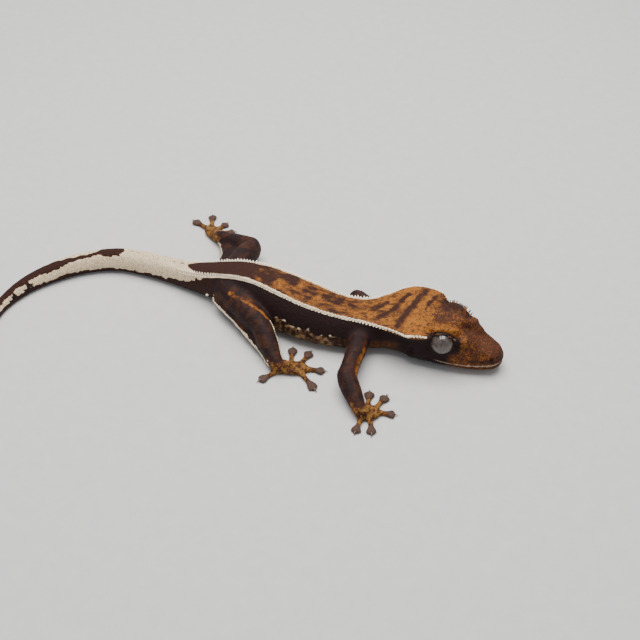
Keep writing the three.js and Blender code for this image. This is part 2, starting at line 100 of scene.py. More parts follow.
# Each limb's joints, its radius at root, thigh, knee, shin and ankle, the free edge of the fold of skin
# behind the knee, the ball of the foot, and for each toe where it starts on the way to the ball and its tip
LIMBS = {
    "arm_right": {
        "root": (21.0, -1.5, 5.8), "bend": (23.3, -19.0, 5.2), "end": (30.8, -26.8, 2.4),
        "radii": (3.0, 2.6, 2.9, 2.7, 1.9), "edge": (), "ball": (33.8, -24.2),
        "toes": (
            (0.5, 29.7, -17.0),
            (0.9, 34.9, -16.6),
            (1.0, 39.7, -22.4),
            (0.7, 36.3, -31.9),
            (0.2, 31.8, -33.2),
        ),
    },
    "arm_left": {
        "root": (21.5, 5.5, 5.8), "bend": (13.0, 12.7, 5.3), "end": (16.4, 15.0, 2.4),
        "radii": (3.0, 2.5, 2.5, 2.3, 1.8), "edge": (), "ball": (19.4, 15.8),
        "toes": (
            (0.5, 22.3, 13.6),
            (0.9, 25.3, 15.4),
            (1.0, 25.3, 18.6),
            (0.9, 21.6, 21.0),
            (0.3, 16.2, 19.2),
        ),
    },
    "leg_right": {
        "root": (-25.5, 0.0, 6.6), "bend": (-6.8, -11.5, 6.5), "end": (2.2, -20.4, 2.6),
        "radii": (4.0, 3.7, 3.2, 2.9, 2.1),
        "edge": ((-27.0, -5.0, 4.4), (-15.4, -11.6, 3.6), (-4.8, -17.8, 2.4), (-0.4, -20.8, 1.9)),
        "ball": (8.0, -17.6),
        "toes": (
            (0.6, 2.6, -10.2),
            (0.9, 8.2, -9.6),
            (1.0, 15.4, -15.2),
            (0.9, 15.8, -23.2),
            (0.25, -0.7, -26.6),
        ),
    },
    "leg_left": {
        "root": (-25.5, 4.5, 6.6), "bend": (-26.2, 20.9, 5.4), "end": (-40.4, 24.2, 2.5),
        "radii": (4.0, 3.7, 3.2, 2.8, 2.0),
        "edge": ((-32.4, 7.0, 4.6), (-34.2, 14.2, 4.0), (-36.9, 18.6, 3.0), (-39.4, 22.2, 2.0)),
        "ball": (-45.4, 27.9),
        "toes": (
            (0.5, -35.2, 29.0),
            (0.7, -37.8, 30.8),
            (0.8, -42.5, 34.0),
            (1.0, -49.3, 35.9),
            (0.9, -54.0, 30.6),
        ),
    },
}
FOLD_THICKNESS = 1.2

# A toe along its length and a palm from wrist to past the ball: share of the way, half width and height
TOE = ((0, 0.9, 1.9), (0.42, 0.8, 1.6), (0.6, 0.85, 1.4), (0.74, 1.5, 1.3), (0.88, 1.7, 1.1), (1, 0.6, 0.6))
PALM = ((-0.02, 1.7, 3.9), (0.35, 2.2, 3.3), (0.8, 2.6, 2.5), (1.2, 2.1, 1.9), (1.45, 1.0, 1.2))
PAD_START = 0.62

# The head: its middle line in y, and the eyes as x, distance from that line and height
HEAD_MIDDLE = 7.1
EYE_RADIUS = 3.6
EYE_CENTRE = (44.4, 6.0, 9.3)
EYE_FACING = (0.2, 1.0, 0.72)

# The opening between the lids: its half height, how many times wider it is than high, and what its half
# height is divided by in the upper half, where the lid hangs lower
EYE_OPENING = 3.05
EYE_WIDER = 1.12
EYE_HOODED = 1.22

# Rounded forms over and before each eye, as middle and half sizes, the brow first
BROWS = (
    ((45.7, 6.2, 12.5), (4.9, 3.0, 2.0)),
    ((44.4, 4.6, 11.0), (7.4, 4.6, 2.2)),
    ((49.2, 3.3, 9.1), (5.0, 2.2, 2.0)),
)

# The parting of the lips, the nostrils and the ears, as x and height, and their depths and half sizes
MOUTH_LINE = ((63.0, 3.9), (60.0, 3.75), (55.0, 3.3), (49.0, 3.2), (44.0, 3.7), (40.4, 4.5))
MOUTH_CORNER = 40.4
NOSTRIL = (58.9, 5.9)
EAR = (36.6, 5.9)
HOLLOWS = ((NOSTRIL, 0.55, (0.42, 0.9, 0.36)), (EAR, 0.8, (0.7, 1.6, 1.3)))

# Markings: dark bars over the head as start, end and half width on the floor plan, dark and pale patches of
# the back as middle and half sizes, and where the dark of the back comes to a point on the tail
HEAD_BARS = (
    ((33.9, 16.6), (31.0, -0.4), 1.05),
    ((29.6, 13.2), (27.9, 6.2), 0.9),
    ((28.0, 6.4), (24.6, 1.2), 0.85),
    ((24.6, 7.6), (22.2, 4.2), 1.0),
    ((37.6, 15.4), (36.2, 10.6), 0.6),
)
DARK_PATCHES = (
    (-10.6, 2.2, 2.6, 2.2),
    (-4.2, 3.6, 3.6, 1.9),
    (3.4, 1.0, 2.3, 2.5),
    (9.2, 1.6, 3.2, 1.7),
    (15.0, 2.8, 3.0, 1.5),
)
PALE_PATCHES = (
    (-15.2, 2.4, 1.5, 2.4),
    (-6.6, 0.6, 1.7, 1.6),
    (0.0, 3.2, 1.2, 2.6),
    (6.3, -0.6, 2.0, 1.5),
)
TAIL_WEDGE = -39.0

# Warm, grainy lines along the front of the near arm and over the near thigh, each with its half width
WARM_LINES = (
    (((25.6, -9.0, 7.2), (26.4, -16.5, 7.0), (29.4, -20.0, 5.6)), 1.5),
    (((-20.0, -5.6, 9.6), (-12.0, -8.0, 9.8), (-5.4, -9.6, 8.8)), 0.7),
)

# Raised scales: their pitch on the crest lines and the stations between which those stand, their pitch on the
# folds behind the knees and down the near shin, the spur at the hip, and the half size of a scale's own patch
# on the unwrap of the skin
CREST_PITCH = 0.92
CREST_STATIONS = (5.9, 17.9)
CREST_SEED = 11
FOLD_PITCH = 0.62
SHIN_PITCH = 0.7
FRINGE_SEED = 23
SPUR = (-29.3, -4.0, 4.2)
SPUR_SIZE = 1.9
PATCH = 0.0015

# Lashes over each eye, and where they stand on the brow, in its half sizes level and upward
LASHES = 15
LASH_REACH = 0.84
LASH_HEIGHT = 0.45
LASH_SEED = 5

# Claws
CLAW_LENGTH = 1.5
CLAW_RADIUS = 0.28
CLAW_RINGS = 7
CLAW_POINTS = 10

# Rounds of evening out the skin: all of it, where limbs leave it, over the crown, and once it is refined
SKIN_ROUNDS = 3
ROOT_ROUNDS = 16
CROWN_ROUNDS = 12
LAST_ROUNDS = 2

# The stage: half the floor's side in millimetres, and the lamp's place and side in metres
FLOOR_HALF = 1500.0
LAMP_PLACE = (-0.05, 0.10, 0.52)
LAMP_SIZE = 0.45
LAMP_COLOUR = (1.0, 0.985, 0.96)
SKY_COLOUR = (0.93, 0.96, 1.0)

ALL_FLESH = [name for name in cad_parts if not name.startswith("eye_")]


# Shared shapes

def smooth(rows, at):
    """A smooth curve through rows of values, read at fractional places among them."""
    rows = np.asarray(rows, float)
    at = np.asarray(at, float)
    last = len(rows) - 1
    i = np.clip(np.floor(at).astype(int), 0, last - 1)
    f = at - i
    first = i > 0
    final = i + 2 <= last
    if rows.ndim == 2:
        f = f[..., None]
        first = first[..., None]
        final = final[..., None]
    here = rows[i]
    after = rows[i + 1]
    before = np.where(first, rows[np.maximum(i - 1, 0)], 2 * here - after)
    beyond = np.where(final, rows[np.minimum(i + 2, last)], 2 * after - here)
    slope = (after - before) / 2
    slope_after = (beyond - here) / 2
    rise = after - here
    square = 3 * rise - 2 * slope - slope_after
    cube = slope + slope_after - 2 * rise
    return here + f * (slope + f * (square + f * cube))


def column(key, station):
    """One column of BODY at a fractional station."""
    return smooth(BODY[:, COLUMNS.index(key)], station)


def step_between(low, high, value):
    """0 below low, 1 above high and smooth between them."""
    share = np.clip((value - low) / (high - low), 0, 1)
    return share * share * (3 - 2 * share)


def frame_at(station):
    """The body's middle on the floor plan at a station, and the ways to its head and its left."""
    step = 0.01
    ahead = np.stack([column("x", station - step), column("y", station - step)], -1)
    behind = np.stack([column("x", station + step), column("y", station + step)], -1)
    heading = ahead - behind
    heading = heading / np.linalg.norm(heading, axis=-1, keepdims=True)
    left = np.stack([-heading[..., 1], heading[..., 0]], -1)
    middle = np.stack([column("x", station), column("y", station)], -1)
    return middle, heading, left


def flank_width(station):
    """Half width of the body high on its side."""
    side = column("side", station)
    crest = column("crest", station)
    lean = np.where(crest > side, 0.6, 0.1)
    return (side + crest) / 2 + lean * (side - crest)


def section(station):
    """The outline of the body at a station, as places in space."""
    bottom, ridge, top, low, side, crest = (float(column(key, station)) for key in COLUMNS[2:])
    height = ridge - bottom
    half = [
        (0, bottom), (0.58 * low, bottom), (low, bottom + 0.22 * height), (side, bottom + 0.48 * height),
        (float(flank_width(station)), bottom + 0.78 * height), (crest, ridge),
        (0.5 * crest, ridge + 0.75 * (top - ridge)), (0, top),
    ]
    outline = half + [(-out, up) for out, up in reversed(half[1:-1])]
    count = len(outline)
    control = np.array(outline[-2:] + outline + outline[:3])
    ring = smooth(control, 2 + count * np.arange(SECTION_POINTS) / SECTION_POINTS)
    middle, _, left = frame_at(station)
    places = np.zeros((SECTION_POINTS, 3))
    places[:, :2] = middle + left * ring[:, :1]
    places[:, 2] = np.maximum(ring[:, 1], bottom)
    return places


class Pile:
    """Small meshes gathered in one. Each is made on its own, because a large bmesh is slow to add to."""

    def __init__(self):
        self.meshes = []

    def take(self, bm):
        """Adds a bmesh and frees it."""
        mesh = bpy.data.meshes.new("piece")
        bm.to_mesh(mesh)
        bm.free()
        self.meshes.append(mesh)

    def whole(self):
        """All the meshes in one bmesh."""
        bm = bmesh.new()
        for mesh in self.meshes:
            bm.from_mesh(mesh)
            bpy.data.meshes.remove(mesh)
        self.meshes = []
        return bm


def shell(pile, rings):
    """A closed shell through rings of as many places each, made by extruding the first ring."""
    bm = bmesh.new()
    count = len(rings[0])
    ring = bmesh.ops.create_circle(bm, cap_ends=True, segments=count, radius=1)["verts"]
    for vertex, place in zip(ring, rings[0]):
        vertex.co = place
    for places in rings[1:]:
        edges = [bm.edges.get((ring[k - 1], ring[k])) for k in range(count)]
        made = bmesh.ops.extrude_edge_only(bm, edges=edges)["geom"]
        fresh = {item for item in made if isinstance(item, bmesh.types.BMVert)}
        ring = [next(e.other_vert(v) for e in v.link_edges if e.other_vert(v) in fresh) for v in ring]
        for vertex, place in zip(ring, places):
            vertex.co = place
    edges = [bm.edges.get((ring[k - 1], ring[k])) for k in range(count)]
    bmesh.ops.contextual_create(bm, geom=edges)
    bmesh.ops.recalc_face_normals(bm, faces=bm.faces)
    pile.take(bm)


def tube(pile, points, radii):
    """A closed tube along a smooth curve through points, with a radius at each."""
    rows = np.column_stack([np.array(points, float), radii])
    count = (len(rows) - 1) * RINGS_TO_A_ROW + 1
    fine = smooth(rows, np.linspace(0, len(rows) - 1, count))
    along = np.gradient(fine[:, :3], axis=0)
    along /= np.linalg.norm(along, axis=1, keepdims=True)
    across = np.cross((0, 0, 1), along)
    across /= np.linalg.norm(across, axis=1, keepdims=True)
    up = np.cross(along, across)
    turn = 2 * np.pi * np.arange(LIMB_POINTS) / LIMB_POINTS
    rings = []
    for k in range(count):
        offset = np.outer(np.cos(turn), across[k]) + np.outer(np.sin(turn), up[k])
        rings.append(fine[k, :3] + fine[k, 3] * offset)
    shell(pile, rings)


def flat_body(pile, start, tip, rows):
    """A flat-bottomed body along a line on the floor: rows of share of the way, half width and height."""
    start = np.array(start, float)
    way = np.array(tip, float) - start
    across = np.array((-way[1], way[0])) / np.linalg.norm(way)
    count = (len(rows) - 1) * RINGS_TO_A_ROW + 1
    fine = smooth(rows, np.linspace(0, len(rows) - 1, count))
    turn = 2 * np.pi * np.arange(FOOT_POINTS) / FOOT_POINTS
    rings = []
    for share, half_width, height in fine:
        places = np.zeros((FOOT_POINTS, 3))
        places[:, :2] = start + way * share + np.outer(np.cos(turn) * half_width, across)
        places[:, 2] = height * np.maximum(0.42 + 0.58 * np.sin(turn), 0)
        rings.append(places)
    shell(pile, rings)


def ball(pile, place, radii):
    """An ellipsoid."""
    bm = bmesh.new()
    made = bmesh.ops.create_icosphere(bm, subdivisions=4, radius=1)["verts"]
    bmesh.ops.scale(bm, vec=radii, verts=made)
    bmesh.ops.translate(bm, vec=place, verts=made)
    pile.take(bm)


def between(a, b, share):
    """A place on the way from a to b, which a share over 1 or under 0 puts beyond them."""
    return np.array(a) + (np.array(b) - np.array(a)) * share


def past(a, b, distance):
    """A place beyond b on the line from a."""
    way = np.array(b) - np.array(a)
    return np.array(b) + way * distance / np.linalg.norm(way)


def side_place(spot, side):
    """A place on the side of the head, given by x and height."""
    station = station_at(spot[0])
    middle, _, left = frame_at(station)
    return np.array((*(middle + side * left * column("side", station) * 0.96), spot[1]))


def lip_line(x):
    """Height of the parting of the lips."""
    rows = MOUTH_LINE[::-1]
    return np.interp(x, [row[0] for row in rows], [row[1] for row in rows])


def station_at(x):
    """Station of the body for a place before the tail's curl, given by x."""
    low = 0.0
    high = 19.0
    for _ in range(40):
        middle = (low + high) / 2
        if column("x", middle) > x:
            low = middle
        else:
            high = middle
    return low


def fold_edge(limb):
    """The free edge of the fold of skin behind the knee, as close places."""
    inner = between(limb["root"], limb["bend"], 0.2)
    outer = between(limb["bend"], limb["end"], 0.85)
    rows = [inner, *limb["edge"], outer]
    return smooth(rows, np.linspace(0, len(rows) - 1, 40))


# Places on the skin

SAMPLES = np.linspace(0, LAST_STATION, 541)
MIDDLES, _, LEFTS = frame_at(SAMPLES)
PACES = np.linalg.norm(np.diff(MIDDLES, axis=0), axis=1)
ALONG = np.concatenate([[0], np.cumsum(PACES)])
NEAREST = kdtree.KDTree(len(SAMPLES))
for index, middle_place in enumerate(MIDDLES):
    NEAREST.insert((*middle_place, 0), index)
NEAREST.balance()


class Surface:
    """Where places on the skin lie: along and across the body, and on its limbs and feet."""

    def __init__(self, places):
        self.places = places
        nearest = np.array([NEAREST.find((x, y, 0))[1] for x, y in places[:, :2]])
        self.station = SAMPLES[nearest]
        self.along = ALONG[nearest]
        self.x = MIDDLES[nearest, 0]
        self.out = ((places[:, :2] - MIDDLES[nearest]) * LEFTS[nearest]).sum(1)
        self.bottom = column("bottom", self.station)
        self.ridge = column("ridge", self.station)
        self.crest = column("crest", self.station)
        self.rise = (places[:, 2] - self.bottom) / (self.ridge - self.bottom)
        self.spread = np.abs(self.out) / self.half_width()
        self.crest_gap = np.hypot(np.abs(self.out) - self.crest, places[:, 2] - self.ridge)
        self.limb_gap, self.limb_share = limb_places(places)
        self.toe_gap, self.toe_share = toe_places(places)
        self.limb = step_between(1.03, 1.16, self.spread) * step_between(1.9, 1.5, self.limb_gap)
        self.foot = step_between(2.4, 1.2, self.toe_gap) * step_between(4.6, 3.6, places[:, 2])
        self.foot *= step_between(1.02, 1.1, self.spread)
        apart = step_between(1.25, 1.45, self.spread) * (self.station > 7.2)
        self.limb = np.maximum(np.maximum(self.limb, self.foot), apart)

    def half_width(self):
        """Half width of the body at each place's height."""
        low = column("low", self.station)
        side = column("side", self.station)
        heights = (0, 0.22, 0.48, 0.78, 1)
        widths = (0.58 * low, low, side, flank_width(self.station), self.crest)
        width = widths[0]
        for k in range(4):
            share = np.clip((self.rise - heights[k]) / (heights[k + 1] - heights[k]), 0, 1)
            width = width + (widths[k + 1] - widths[k]) * share
        return width


def segment_gap(places, a, b):
    """Distance from a straight line between two places, and the share of the way along it."""
    a = np.array(a, float)
    way = np.array(b, float) - a
    share = np.clip((places - a) @ way / (way @ way), 0, 1)
    return np.linalg.norm(places - a - share[:, None] * way, axis=1), share


def limb_places(places):
    """How far places lie from the nearest limb's bone, in radii, and where along it: 1 at bend, 2 at end."""
    best = np.full(len(places), 9.0)
    along = np.zeros(len(places))
    for limb in LIMBS.values():
        _, thigh, knee, shin, ankle = limb["radii"]
        bones = ((limb["root"], limb["bend"], thigh, knee), (limb["bend"], limb["end"], shin, ankle))
        for k, (a, b, wide, thin) in enumerate(bones):
            gap, share = segment_gap(places, a, b)
            gap = gap / (wide + share * (thin - wide))
            along = np.where(gap < best, k + share, along)
            best = np.minimum(best, gap)
    return best, along


def toe_places(places):
    """How far places lie from the nearest toe or palm on the floor plan, and how far along the toe."""
    best = np.full(len(places), 99.0)
    along = np.zeros(len(places))
    plan = places[:, :2]
    for limb in LIMBS.values():
        wrist = limb["end"][:2]
        gap, _ = segment_gap(plan, wrist, limb["ball"])
        gap = gap - 1.4
        along = np.where(gap < best, 0, along)
        best = np.minimum(best, gap)
        for share, x, y in limb["toes"]:
            gap, way = segment_gap(plan, between(wrist, limb["ball"], share), (x, y))
            along = np.where(gap < best, way, along)
            best = np.minimum(best, gap)
    return best, along


def line_gap(places, line):
    """Distance of places from a chain of straight lines."""
    gaps = [segment_gap(places, a, b)[0] for a, b in zip(line[:-1], line[1:])]
    return np.min(gaps, axis=0)


def mottle(points, size, seed, detail=3):
    """Cloudy noise about 0 at points, with clouds of about a size."""
    offset = Vector((seed * 17.3, seed * 5.1, seed * 29.7))
    scale = 1 / np.broadcast_to(size, 3)
    return np.array([noise.fractal(Vector(p * scale) + offset, 0.8, 2.0, detail) for p in points])


def patch_cover(x, y, patches):
    """1 inside oval patches on a plan, 0 well outside them."""
    cover = np.zeros(len(x))
    for middle_x, middle_y, half_x, half_y in patches:
        reach = np.hypot((x - middle_x) / half_x, (y - middle_y) / half_y)
        cover = np.maximum(cover, step_between(1.35, 0.65, reach))
    return cover


def shin_line():
    """The pale line down the front of the near hind leg's shin."""
    leg = LIMBS["leg_right"]
    knee = np.array(leg["bend"]) + (1.9, 2.0, 1.4)
    ankle = np.array(leg["end"]) + (1.2, 2.0, 1.0)
    return [knee, between(knee, ankle, 0.5) + (0.5, 0.4, 0.2), ankle]


def head_marks(s, coarse, fine):
    """The amber of the crown, the dark bars over head and neck, and the dusk of the forehead."""
    x, y = s.places[:, 0], s.places[:, 1]
    bars = np.zeros(len(x))
    for a, b, half in HEAD_BARS:
        gap, _ = segment_gap(s.places[:, :2], a, b)
        bars = np.maximum(bars, 0.86 * step_between(half * 1.8, half * 0.3, gap + 0.45 * fine))
    snout = step_between(46.0, 53.0, x)
    forehead = step_between(34.5, 43.0, x + 1.2 * coarse) * step_between(1.0, 8.0, y + 1.6 * fine)
    crown = 0.60 + 0.25 * fine - 0.25 * step_between(0.1, 0.9, coarse)
    crown = crown - 0.34 * snout - 0.40 * forehead
    dusky = np.hypot((x - 44.2) / 4.6, (y - 13.2) / 4.4) + 0.3 * fine
    dusk = 0.74 * step_between(1.2, 0.3, dusky) + 0.25 * forehead * step_between(0.0, 0.6, coarse)
    return crown, bars, dusk


def tail_marks(s, coarse, fine):
    """The cream over the tail, and the dark under it with the stripe down its left from blotch to tip."""
    sideways = s.out / column("side", s.station)
    lower = np.interp(
        s.station, (16.1, 16.6, 17.3, 18.2, 19.5, 21, 23, 27), (1, 0.90, 0.72, 0.52, 0.40, 0.44, 0.52, 0.8))
    above = step_between(lower - 0.05, lower + 0.05, s.rise + 0.10 * coarse + 0.09 * fine)
    stripe_middle = np.interp(
        s.station, (19.0, 19.9, 20.4, 20.8, 21.6, 23.0), (0.10, 0.08, 0.08, -0.30, -0.20, 0.10))
    stripe_width = np.interp(
        s.station, (19.2, 19.75, 19.9, 20.4, 20.6, 21.3, 21.9, 24.0),
        (0, 0.04, 0.62, 0.62, 0.2, 0.2, 0.52, 0.64))
    stripe_gap = np.abs(sideways - stripe_middle) + 0.12 * fine
    stripe = step_between(stripe_width + 0.06, stripe_width - 0.06, stripe_gap)
    worn = step_between(21.0, 23.5, s.station) * step_between(-0.10, 0.35, coarse)
    cream = above * (1 - stripe) * (1 - 0.75 * worn)
    return cream, np.maximum(stripe, 0.75 * (1 - above))


def warm_marks(places, fine):
    """The warm lines of the near limbs."""
    warm = np.zeros(len(places))
    for line, wide in WARM_LINES:
        warm = np.maximum(warm, step_between(wide * 1.5, wide * 0.5, line_gap(places, line) + 0.5 * fine))
    return warm


def fringe_marks(places, fine):
    """Cream along the folds behind the knees and down the near shin."""
    fringe = np.zeros(len(places))
    for limb in LIMBS.values():
        if limb["edge"]:
            edge_gap = line_gap(places, fold_edge(limb)[6:]) + 0.35 * fine
            fringe = np.maximum(fringe, step_between(0.60, 0.28, edge_gap))
    shin_gap = line_gap(places, shin_line()) + 0.15 * fine
    return np.maximum(fringe, step_between(0.62, 0.30, shin_gap))


def markings(surface):
    """The skin's markings at places, each from 0 to 1."""
    s = surface
    places = s.places
    x, y = places[:, 0], places[:, 1]
    coarse = mottle(places, 3.4, 1)
    fine = mottle(places, 1.3, 2)
    lengthways = np.stack([s.along, s.out, s.rise * 3], 1)
    streak = mottle(lengthways, (3.2, 1.1, 3.0), 3)
    over_crest = step_between(s.crest + 0.45, s.crest + 0.05, np.abs(s.out))
    over_crest = np.where(s.station < 7.2, 1, over_crest)
    top = step_between(0.85, 0.93, s.rise) * over_crest * (1 - s.limb)
    head = step_between(8.6, 7.4, s.station)
    tail = step_between(-27.0, -29.0, s.x) * (1 - s.limb)

    # Top of head and back: amber, dark at the tail and breaking into blotches and bars towards the snout
    crown, bars, dusk = head_marks(s, coarse, fine)
    patches = patch_cover(x, y, DARK_PATCHES) - patch_cover(x, y, PALE_PATCHES)
    share = np.interp(s.x, (-17.5, -13.0, -4.0, 6.0, 18.0, 27.0), (1.3, 0.26, 0.06, 0.0, -0.08, -0.30))
    blotch = np.clip(0.44 + share + 0.72 * streak + 0.38 * patches + 0.2 * fine, 0, 0.95)
    blotch = np.where(s.x < -17.5, 0.95, blotch)
    dark_top = np.where(head > 0.5, np.maximum(bars, dusk), np.maximum(blotch, bars))
    amber = np.where(head > 0.5, crown, 0.56 + 0.30 * fine - 0.1 * coarse)

    # Sides: dusky violet, broken low on the flank by a tan, grainy patch
    flank_edge = 0.60 + 0.10 * coarse + 0.05 * fine
    patch = step_between(-6.0, -3.0, s.x) * step_between(21.0, 10.0, s.x)
    tan = patch * step_between(flank_edge, flank_edge - 0.10, s.rise) * (1 - s.limb) * (0.52 + 0.5 * fine)
    tan_edge = patch * np.exp(-((s.rise - flank_edge + 0.05) / 0.05) ** 2) * (0.45 + 0.5 * fine)
    throat = step_between(0.24, 0.08, s.rise) * (1 - s.limb) * (1 - tail) * 0.6
    shoulder = step_between(14.0, 19.0, s.x) * step_between(33.0, 27.0, s.x)
    shoulder *= step_between(0.7, 0.45, s.rise)
    cheek = step_between(45.0, 49.0, x) * (1 - top)
    side_amber = 0.10 + 0.34 * shoulder * (0.6 + fine) + 0.26 * cheek * (0.5 + fine)
    amber = amber * top + side_amber * (1 - top)
    violet_and_nostril_shade = (1 - top) * (0.92 - 0.45 * shoulder - 0.75 * cheek + 0.12 * coarse)
    tip = step_between(56.5, 60.5, x) * (0.40 + 0.25 * fine)
    muzzle = step_between(50.0, 54.0, x) * np.exp(-((places[:, 2] - 5.2) / 0.7) ** 2) * (0.62 + 0.3 * fine)
    violet_and_nostril_shade = np.maximum(np.maximum(violet_and_nostril_shade * (1 - tan), tip), muzzle)
    # Painted shade: the violet brown is laid darkest round each nostril, standing in for the shade in its
    # hollow
    for side in (1, -1):
        nostril_shade_gap = np.linalg.norm(places - side_place(NOSTRIL, side), axis=1)
        violet_and_nostril_shade = np.maximum(violet_and_nostril_shade, step_between(1.1, 0.5, nostril_shade_gap))
    dark = dark_top * top

    # Crest lines: cream, wide at the tail and thin at the brow, with the dark of the back in a point between
    width = np.interp(s.station, (5.5, 7, 9, 12, 14, 16, 17.4), (0.12, 0.28, 0.38, 0.48, 0.60, 0.90, 1.5))
    cream = step_between(width * 1.2, width * 0.75, s.crest_gap + 0.12 * fine)
    cream *= step_between(5.3, 6.2, s.station) * (1 - s.limb) * step_between(18.4, 17.6, s.station)
    wedge = np.clip((s.x - TAIL_WEDGE) / 5.5, 0, 1) ** 0.5
    inside = step_between(wedge * s.crest + 0.2, wedge * s.crest - 0.2, np.abs(s.out)) * top
    inside *= step_between(TAIL_WEDGE - 0.4, TAIL_WEDGE, s.x) * step_between(-17.0, -18.5, s.x)
    tail_cream, tail_dark = tail_marks(s, coarse, fine)
    cream = np.maximum(np.maximum(cream, tail * tail_cream) * (1 - inside), tan_edge * (1 - s.limb))
    dark = np.maximum(np.maximum(dark * (1 - tail), tail * tail_dark), inside)

    # Limbs and feet
    limb_amber = np.clip(0.04 + 0.42 * step_between(0.30, 0.9, coarse) + 0.22 * fine, 0, 1)
    at_bend = step_between(0.7, 1.2, s.limb_share) * step_between(1.7, 1.3, s.limb_share)
    limb_amber = limb_amber * (1 - 0.6 * at_bend)
    amber = amber * (1 - s.limb) * (1 - tail) + limb_amber * s.limb
    violet_and_nostril_shade = violet_and_nostril_shade * (1 - s.limb) + s.limb * (0.54 + 0.40 * step_between(0.35, -0.45, coarse + 0.4 * fine))
    violet_and_nostril_shade *= 1 - s.foot
    gold = s.foot * step_between(PAD_START + 0.06, PAD_START - 0.12, s.toe_share) * (0.46 + 0.55 * fine)
    pad = s.foot * step_between(PAD_START - 0.06, PAD_START + 0.06, s.toe_share)
    dark = dark * (1 - s.limb) + s.limb * step_between(0.45, 0.75, -fine + 0.3 * coarse) * (1 - pad) * 0.7
    warm = warm_marks(places, fine)
    amber = np.maximum(amber, 0.72 * warm * s.limb)
    violet_and_nostril_shade *= 1 - 0.7 * warm * s.limb
    cream = np.maximum(cream, 0.95 * fringe_marks(places, fine))

    # Lips, and dark rings round the eyes
    lip_gap = places[:, 2] - lip_line(x)
    lip = step_between(0.80, 0.35, np.abs(lip_gap - 0.35)) * step_between(40.0, 46.0, x) * (0.8 + 0.3 * fine)
    eye, aside, before = eye_gap(places)
    ring = step_between(1.0, 0.55, aside - EYE_OPENING) * step_between(-0.5, 0.5, before) * (eye < 5.5)
    return {
        "amber": amber,
        # the violet mask also carries the painted shade of the nostrils
        "violet_and_nostril_shade": np.maximum(violet_and_nostril_shade, 0.85 * ring),
        "dark": dark,
        "cream": cream * (1 - ring),
        "tan": np.maximum(tan, throat),
        "gold": gold,
        "pad": pad,
        "lip": lip * 0.9,
    }


def eye_gap(places):
    """Distance of places from the nearest eye's middle, how wide of its line of sight and how far ahead."""
    best = None
    for side in (1, -1):
        centre = np.array((EYE_CENTRE[0], HEAD_MIDDLE + side * EYE_CENTRE[1], EYE_CENTRE[2]))
        facing = np.array((EYE_FACING[0], side * EYE_FACING[1], EYE_FACING[2]))
        facing /= np.linalg.norm(facing)
        offset = places - centre
        distance = np.linalg.norm(offset, axis=1)
        before = offset @ facing
        level = np.cross((0, 0, 1), facing)
        level /= np.linalg.norm(level)
        high = offset @ np.cross(facing, level)
        aside = np.hypot(offset @ level / EYE_WIDER, np.where(high > 0, high * EYE_HOODED, high))
        aside *= (EYE_RADIUS + 0.35) / distance
        found = np.stack([distance, aside, before])
        best = found if best is None else np.where(found[0] < best[0], found, best)
    return best


# Skin

def add_limb(pile, limb):
    """A limb from inside the body to its toes, rough, for the skin to be drawn over."""
    root, bend, end = limb["root"], limb["bend"], limb["end"]
    socket, thigh, knee, shin, ankle = limb["radii"]
    upper = [
        root, between(root, bend, 0.3), between(root, bend, 0.7), bend, past(root, bend, knee * 0.65),
    ]
    tube(pile, upper, [socket, socket * 1.02, thigh * 1.04, knee * 0.96, knee * 0.5])
    lower = [
        past(end, bend, knee * 0.65), bend, between(bend, end, 0.35), between(bend, end, 0.75), end,
        past(bend, end, ankle * 0.5),
    ]
    tube(pile, lower, [knee * 0.5, knee * 0.96, shin * 1.05, (shin + ankle) / 2, ankle, ankle * 0.7])
    if limb["edge"]:
        outline = np.array([bend, *fold_edge(limb)])
        lowered = outline.copy()
        lowered[:, 2] = np.maximum(outline[:, 2] - FOLD_THICKNESS / 2, 0.2)
        shell(pile, [lowered + (0, 0, FOLD_THICKNESS), lowered])
    wrist = end[:2]
    flat_body(pile, wrist, limb["ball"], PALM)
    knuckles = (*limb["ball"], 1.2)
    tube(pile, [end, between(end, knuckles, 0.5), knuckles], [ankle, ankle * 0.8, 1.0])
    for share, x, y in limb["toes"]:
        flat_body(pile, between(wrist, limb["ball"], share), (x, y), TOE)


def rough_body():
    """The animal as closed shells that pass through one another, in millimetres."""
    pile = Pile()
    stations = []
    for i in range(LAST_STATION):
        length = math.hypot(*(BODY[i + 1, :2] - BODY[i, :2]))
        pieces = max(2, round(length / RING_STEP))
        stations += [i + k / pieces for k in range(pieces)]
    stations.append(LAST_STATION)
    shell(pile, [section(station) for station in stations])
    for side in (1, -1):
        for (x, out, z), radii in BROWS:
            ball(pile, (x, HEAD_MIDDLE + side * out, z), radii)
    for limb in LIMBS.values():
        add_limb(pile, limb)
    return pile.whole()


def drawn_over(bm, voxel):
    """One closed surface over all the shells, as a new bmesh."""
    mesh = bpy.data.meshes.new("rough")
    bm.to_mesh(mesh)
    bm.free()
    rough = bpy.data.objects.new("rough", mesh)
    bpy.context.scene.collection.objects.link(rough)
    remesh = rough.modifiers.new("Remesh", "REMESH")
    remesh.mode = "VOXEL"
    remesh.voxel_size = voxel
    remesh.adaptivity = 0
    graph = bpy.context.evaluated_depsgraph_get()
    fine = bmesh.new()
    fine.from_mesh(rough.evaluated_get(graph).to_mesh())
    bpy.data.objects.remove(rough)
    bpy.data.meshes.remove(mesh)
    return fine


def relax(bm, rounds, vertices=None, factor=0.5):
    """Evens out a surface."""
    chosen = list(vertices or bm.verts)
    for _ in range(rounds):
        bmesh.ops.smooth_vert(
            bm, verts=chosen, factor=factor, use_axis_x=True, use_axis_y=True, use_axis_z=True)


def coordinates(bm):
    """All places of a bmesh's vertices."""
    return np.array([v.co for v in bm.verts])


